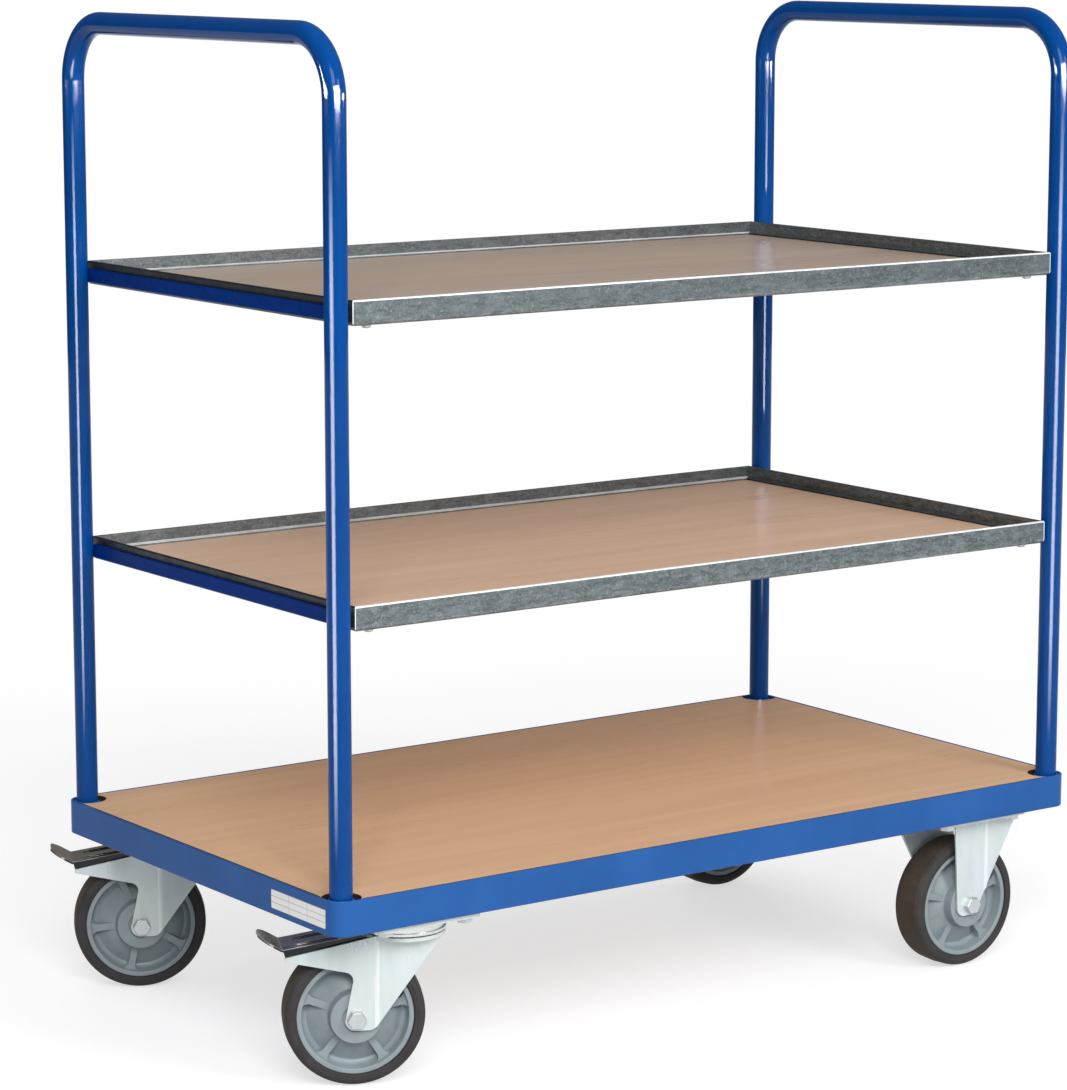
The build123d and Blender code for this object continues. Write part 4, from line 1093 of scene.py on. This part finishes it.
class TROLLEY_OT_wheels(bpy.types.Operator):
    """Turns the tyres and the rims, and finishes the bushes"""
    bl_idname = "trolley.wheels"
    bl_label = "Wheels"

    def execute(self, context):
        details = context.scene.trolley_details
        tyre = self.tyre(details)
        rim = self.rim(details)
        tread = TYRE_HALF - details.tread_edge
        for castor in CASTORS:
            place = wheel_place(castor)
            rubbers = placed_copy(tyre, f"{castor}_tyre_rubber", place)
            give_finishes(rubbers, finish("tyre_side"), finish("tyre_tread"))
            to_wheel = place.inverted()
            coat_faces(rubbers, 1, lambda face: abs((to_wheel @ face.center).y) < tread)
            dress(rubbers, "tyre", f"{castor}_wheel", f"{castor}_tyre")
            turn = Matrix.Rotation(-self.spoke_turn(castor, details), 4, "Y")
            moulding = placed_copy(rim, f"{castor}_rim_moulding", place @ turn)
            give_finishes(moulding, finish("rim_plastic"))
            dress(moulding, "rim_plastic", f"{castor}_wheel", f"{castor}_rim")
            give_finishes(frame["nodes"][f"{castor}_bush"], finish("bush_plastic"))
        bpy.data.objects.remove(tyre)
        bpy.data.objects.remove(rim)
        return {"FINISHED"}

    def spoke_turn(self, castor, details):
        """Angle of a spoke about its axle, from the rounded corners of the pockets in the frame's rim."""
        to_wheel = wheel_place(castor).inverted()
        clear_of_hub = 1.1 * details.hub_radius
        clear_of_ring = 0.85 * RIM_RADIUS
        east = 0.0
        north = 0.0
        for vert in frame["nodes"][f"{castor}_rim"].data.vertices:
            x, y, z = to_wheel @ vert.co
            on_face = abs(abs(y) - details.spoke_face) < NEAR_FACE
            if on_face and clear_of_hub < hypot(x, z) < clear_of_ring:
                east += cos(SPOKES * atan2(z, x))
                north += sin(SPOKES * atan2(z, x))
        return atan2(north, east) / SPOKES

    def rim(self, details):
        """Rim about Y: narrow ring, deep dish with round roots, hub, and spokes that flare into the ring."""
        edge = details.rim_corner
        draft = details.rim_draft
        root = details.rim_root
        hub = details.hub_radius
        ring_half = TYRE_HALF - details.tyre_lip
        ring = RIM_RADIUS - details.rim_ring
        half = arc((ring_half - edge, RIM_RADIUS - edge), edge, 90, 0, steps=4)
        half += arc((ring_half - edge, ring + edge), edge, 0, -90, steps=4)
        half += arc((details.rim_floor + root, ring - draft - root), root, 90, 180, steps=8)
        half += arc((details.rim_dish + root / 2, hub + draft + root / 2), root / 2, 180, 270, steps=6)
        half += arc((HUB_HALF - edge, hub - edge), edge, 90, 0, steps=4)
        half += [(HUB_HALF, BUSH_RADIUS + edge / 2), (HUB_HALF - edge / 2, BUSH_RADIUS)]
        profile = half + [(-y, radius) for y, radius in reversed(half)] + half[:1]
        body = turned("rim", profile, details.wheel_sides)
        spoke = self.spoke(hub - edge, ring, details)
        spokes = [placed_copy(spoke, "spoke", Matrix.Rotation(2 * pi * turn / SPOKES, 4, "Y"))
                  for turn in range(SPOKES)]
        bpy.data.objects.remove(spoke)
        whole = join([body, *spokes])
        smooth(whole)
        return whole

    def spoke(self, start, end, details):
        """Spoke along X that widens in an arc towards the ring, and a little towards the hub."""
        steps = details.spoke_steps
        deselect()
        bpy.ops.mesh.primitive_grid_add(x_subdivisions=steps, y_subdivisions=1, size=1,
                                        location=((start + end) / 2, -details.spoke_face, 0),
                                        rotation=(pi / 2, 0, 0))
        bpy.context.object.scale = (end - start, 1, 1)
        piece = begin("spoke")
        start_editing(piece)
        for step in range(steps + 1):
            x = start + (end - start) * step / steps
            width = details.spoke_width
            for flare, distance in ((details.spoke_flare, end - x), (details.spoke_flare / 2, x - start)):
                if distance < flare:
                    width += 2 * (flare - sqrt(flare ** 2 - (flare - distance) ** 2))
            select_where(piece, "verts", lambda vert: abs(vert.co.x - x) < NEAR)
            bpy.ops.transform.resize(value=(1, 1, width), center_override=(x, 0, 0))
        bpy.ops.mesh.select_mode(type="FACE")
        select_whole()
        extrude((0, 2 * details.spoke_face, 0))
        stop_editing()
        close_up(piece)
        round_edges(piece, details.rim_edge, degrees=40)
        return piece

    def tyre(self, details):
        """Tyre about Y: seat on the rim, lip, wall, round shoulder and a slightly crowned tread."""
        lip = details.tyre_lip
        ridge = details.tyre_ridge
        shoulder = details.tyre_shoulder
        wall = TYRE_HALF - ridge
        wall_start = RIM_RADIUS + lip
        wall_end = WHEEL_RADIUS - details.tyre_crown - shoulder
        half = [(TYRE_HALF - lip, RIM_RADIUS), (TYRE_HALF - 0.2 * lip, RIM_RADIUS + 0.5 * lip),
                (TYRE_HALF, wall_start), (wall, wall_start + ridge), (wall, wall_end - ridge)]
        half += arc((TYRE_HALF - shoulder, wall_end), shoulder, 0, 90, steps=10)
        profile = half + [(0.0, WHEEL_RADIUS)] + [(-y, radius) for y, radius in reversed(half)] + half[:1]
        piece = turned("tyre", profile, details.wheel_sides)
        smooth(piece)
        return piece


class TROLLEY_OT_fasteners(bpy.types.Operator):
    """Finishes the axles, bolts and screws"""
    bl_idname = "trolley.fasteners"
    bl_label = "Fasteners"

    def execute(self, context):
        edge = context.scene.trolley_details.fine_edge
        axles = [f"{castor}_axle" for castor in CASTORS]
        for node in (*axles, "castor_bolts", "panel_screws", "end_bar_screws"):
            dress_copy(node, "bright_steel", edge, 2, finish("bright_steel"))
        # The shelf screws take the cross bars' blue, darkened as painted shade
        give_finishes(frame["nodes"]["shelf_screws"], finish("bar_paint"))
        return {"FINISHED"}


class TROLLEY_OT_label(bpy.types.Operator):
    """Cuts the blank label with round corners"""
    bl_idname = "trolley.label"
    bl_label = "Label"

    def execute(self, context):
        card = block("ruled_label", *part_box("blank_label"))
        start_editing(card)
        select_where(card, "edges", lambda edge: abs(edge.verts[0].co.x - edge.verts[1].co.x) > NEAR)
        bpy.ops.mesh.bevel(offset=context.scene.trolley_details.label_corner, segments=4)
        stop_editing()
        give_finishes(card, finish("label_card"))
        dress(card, "label_plate", "chassis", "blank_label")
        return {"FINISHED"}


# Lamps: name, place and size; panes and strips also have the place along X that they face
LAMP_TARGET = Vector((0, 0, 0.5))
SOFT_LAMPS = (("key", (-1.9, -3.0, 2.5), (1.8, 1.8)), ("window", (0.9, -3.6, 2.1), (1.3, 1.3)),
              ("fill", (1.4, 3.4, 0.9), (2.2, 1.6)), ("top", (-0.4, -0.4, 3.6), (3.0, 3.0)))
PANES = (("left_pane", (-2.33, 0.563, 1.135), (1.456, 0.21), -UPRIGHT_X),
         ("middle_pane", (-0.665, -2.8, 1.43), (2.91, 0.94), -0.665),
         ("right_pane", (1.597, -1.417, 1.125), (0.994, 0.25), -UPRIGHT_X))
STRIPS = (("left", (-1.286, -0.512, 0.54), -UPRIGHT_X), ("right", (0.241, -1.034, 0.569), UPRIGHT_X))
STRIP_SIZE = (0.66, 0.925)
STRIP_CORE = {"X": 0.22, "Y": 0.32}  # share of a strip's size from its middle to where it fades
LIGHT_SIDE = (0.58, -0.81, 0)  # towards the lighter side of the dome
FLOOR_CLEAR = 0.45  # share of the floor's reach that shows its own tone


class TROLLEY_OT_stage(bpy.types.Operator):
    """Sets up the floor, the world, the lamps and the camera"""
    bl_idname = "trolley.stage"
    bl_label = "Stage"

    def execute(self, context):
        stage = context.scene.trolley_stage
        context.scene.view_settings.view_transform = "Standard"
        self.floor(stage)
        self.world(context, stage)
        self.surround(stage)
        lamps = {name: self.lamp(name, place, LAMP_TARGET, size, getattr(stage, f"{name}_power"))
                 for name, place, size in SOFT_LAMPS}
        lamps["fill"].visible_glossy = False
        self.shine_on([lamps["top"]], "folded_sheets",
                      [f"{shelf}_shelf_{piece}" for shelf in SHELF_HEIGHTS
                       for piece in ("front_sheet", "rear_sheet", "end_sheets")])
        self.tube_lamps(stage)
        self.camera(context, stage)
        return {"FINISHED"}

    def camera(self, context, stage):
        """Camera at the viewing angle of the settings."""
        data = bpy.data.cameras.new("camera")
        data.sensor_width = SENSOR_WIDTH
        data.lens = stage.focal_length
        camera = linked("camera", data)
        camera.location = stage.camera_place
        camera.rotation_euler = (pi / 2 - stage.camera_pitch, 0, -stage.camera_yaw)
        context.scene.camera = camera

    def lamp(self, name, place, target, size, power):
        """Soft rectangular lamp aimed at a point."""
        data = bpy.data.lights.new(name, "AREA")
        data.shape = "RECTANGLE"
        data.size, data.size_y = size
        data.energy = power
        lamp = linked(name, data)
        lamp.location = place
        lamp.rotation_euler = (target - Vector(place)).to_track_quat("-Z", "Y").to_euler()
        lamp.visible_camera = False
        return lamp

    def shine_on(self, lamps, group, names):
        """Lets lamps draw highlights on a group of pieces alone."""
        pieces = bpy.data.collections.new(group)
        for name in names:
            pieces.objects.link(bpy.data.objects[name])
        for lamp in lamps:
            lamp.visible_diffuse = False
            lamp.light_linking.receiver_collection = pieces

    def tube_lamps(self, stage):
        """Lamps that draw the highlights of the round tubes: long soft strips, and panes in the bends."""
        panes = []
        for name, place, size, target_x in PANES:
            target = Vector((target_x, -UPRIGHT_Y, place[2]))
            panes.append(self.lamp(name, place, target, size, stage.pane_power * size[0] * size[1]))
        self.shine_on(panes, "round_tubes", ("left_end_bar_tube", "right_end_bar_tube"))
        for side, place, target_x in STRIPS:
            target = Vector((target_x, -UPRIGHT_Y, place[2]))
            strip = self.lamp(f"{side}_strip", place, target, STRIP_SIZE, stage.strip_power)
            self.soften(strip)
            self.shine_on([strip], f"{side}_tube", [f"{side}_end_bar_tube"])

    def soften(self, lamp):
        """Lets a lamp fade out towards its edges."""
        lamp.data.use_nodes = True
        tree = lamp.data.node_tree
        place = add_node(tree, "ShaderNodeNewGeometry").outputs["Parametric"]
        axes = add_node(tree, "ShaderNodeSeparateXYZ", {"Vector": place}).outputs
        fades = []
        for axis, core in STRIP_CORE.items():
            reach = maths(tree, "ABSOLUTE", maths(tree, "SUBTRACT", axes[axis], 0.5))
            fades.append(remap(tree, reach, (core, 0.5), (1.0, 0.0)))
        tree.links.new(maths(tree, "MULTIPLY", *fades), tree.nodes["Emission"].inputs["Strength"])

    def seen_directly(self, tree):
        """1 for rays from the camera and for mirrored or see-through rays, otherwise 0."""
        path = add_node(tree, "ShaderNodeLightPath").outputs
        seen = maths(tree, "MAXIMUM", path["Is Camera Ray"], path["Is Glossy Ray"])
        return maths(tree, "MAXIMUM", seen, path["Is Transmission Ray"])

    def bare_finish(self, name):
        """Material without a shader, with its tree and its own coordinates."""
        made, tree, shader, place = new_finish(name)
        tree.nodes.remove(shader)
        return made, tree, place

    def white_glow(self, tree, strength):
        """White light of its own."""
        return add_node(tree, "ShaderNodeEmission", {"Color": WHITE, "Strength": strength}).outputs[0]

    def show(self, piece, made, surface):
        """Gives a stage piece its material."""
        made.node_tree.links.new(surface, made.node_tree.nodes["Material Output"].inputs["Surface"])
        give_finishes(piece, made)

    def floor(self, stage):
        """Wide pale floor that shows white, with the trolley's shadow on it."""
        deselect()
        bpy.ops.mesh.primitive_plane_add(size=stage.floor_size)
        floor = begin("floor")
        made, tree, place = self.bare_finish("floor")
        seen = self.seen_directly(tree)
        matt = add_node(tree, "ShaderNodeBsdfDiffuse", {"Color": shade_of(stage.floor, 1.0)}).outputs[0]
        glow = self.white_glow(tree, maths(tree, "MULTIPLY", seen, stage.floor_glow))
        lit = add_node(tree, "ShaderNodeAddShader", {0: matt, 1: glow}).outputs[0]
        away = add_node(tree, "ShaderNodeVectorMath", {0: place}, operation="LENGTH").outputs["Value"]
        far = remap(tree, away, (FLOOR_CLEAR * stage.floor_reach, stage.floor_reach))
        share = maths(tree, "MULTIPLY", seen, far)
        mixed = add_node(tree, "ShaderNodeMixShader", {0: share, 1: lit, 2: self.white_glow(tree, 1.0)})
        self.show(floor, made, mixed.outputs[0])

    def world(self, context, stage):
        """White world that lights the trolley from all round at a lower level."""
        world = bpy.data.worlds.new("studio")
        context.scene.world = world
        world.use_nodes = True
        tree = world.node_tree
        background = tree.nodes["Background"]
        background.inputs["Color"].default_value = WHITE
        strength = remap(tree, self.seen_directly(tree), (0.0, 1.0), (stage.ambient, 1.0))
        tree.links.new(strength, background.inputs["Strength"])

    def surround(self, stage):
        """Grey dome that only reflections show, darker behind at the left."""
        radius = stage.surround_radius
        deselect()
        bpy.ops.mesh.primitive_uv_sphere_add(segments=64, ring_count=32, radius=radius)
        dome = begin("surround")
        made, tree, place = self.bare_finish("surround")
        ahead = add_node(tree, "ShaderNodeVectorMath", {0: place, 1: LIGHT_SIDE}, operation="DOT_PRODUCT")
        tones = (stage.surround_dark, stage.surround_light)
        tone = remap(tree, ahead.outputs["Value"], (-radius, radius), tones)
        dome.visible_camera = False
        dome.visible_diffuse = False
        dome.visible_shadow = False
        self.show(dome, made, self.white_glow(tree, tone))


PIECES = (TROLLEY_OT_base_frame, TROLLEY_OT_end_bars, TROLLEY_OT_cross_bars, TROLLEY_OT_deck,
          TROLLEY_OT_shelves, TROLLEY_OT_castor_heads, TROLLEY_OT_forks, TROLLEY_OT_brakes, TROLLEY_OT_wheels,
          TROLLEY_OT_fasteners, TROLLEY_OT_label, TROLLEY_OT_stage)
SETTINGS = {"trolley_finishes": TrolleyFinishes, "trolley_details": TrolleyDetails,
            "trolley_stage": TrolleyStage}


class TROLLEY_PT_panel(bpy.types.Panel):
    """Lists the trolley's pieces and settings"""
    bl_idname = "TROLLEY_PT_panel"
    bl_label = "Shelf Trolley"
    bl_space_type = "VIEW_3D"
    bl_region_type = "UI"
    bl_category = "Trolley"

    def draw(self, context):
        for operator in PIECES:
            self.layout.operator(operator.bl_idname)
        for group, kind in SETTINGS.items():
            box = self.layout.box()
            for name in kind.__annotations__:
                box.prop(getattr(context.scene, group), name)


CLASSES = (*SETTINGS.values(), *PIECES, TROLLEY_PT_panel)


def register():
    for made in CLASSES:
        bpy.utils.register_class(made)
    for group, kind in SETTINGS.items():
        setattr(bpy.types.Scene, group, PointerProperty(type=kind))


def unregister():
    for group in SETTINGS:
        delattr(bpy.types.Scene, group)
    for made in reversed(CLASSES):
        bpy.utils.unregister_class(made)


def main():
    register()
    for operator in PIECES:
        group, name = operator.bl_idname.split(".")
        if getattr(getattr(bpy.ops, group), name)() != {"FINISHED"}:
            raise RuntimeError(f"{operator.bl_label} was not finished")


if __name__ == "__main__":
    main()
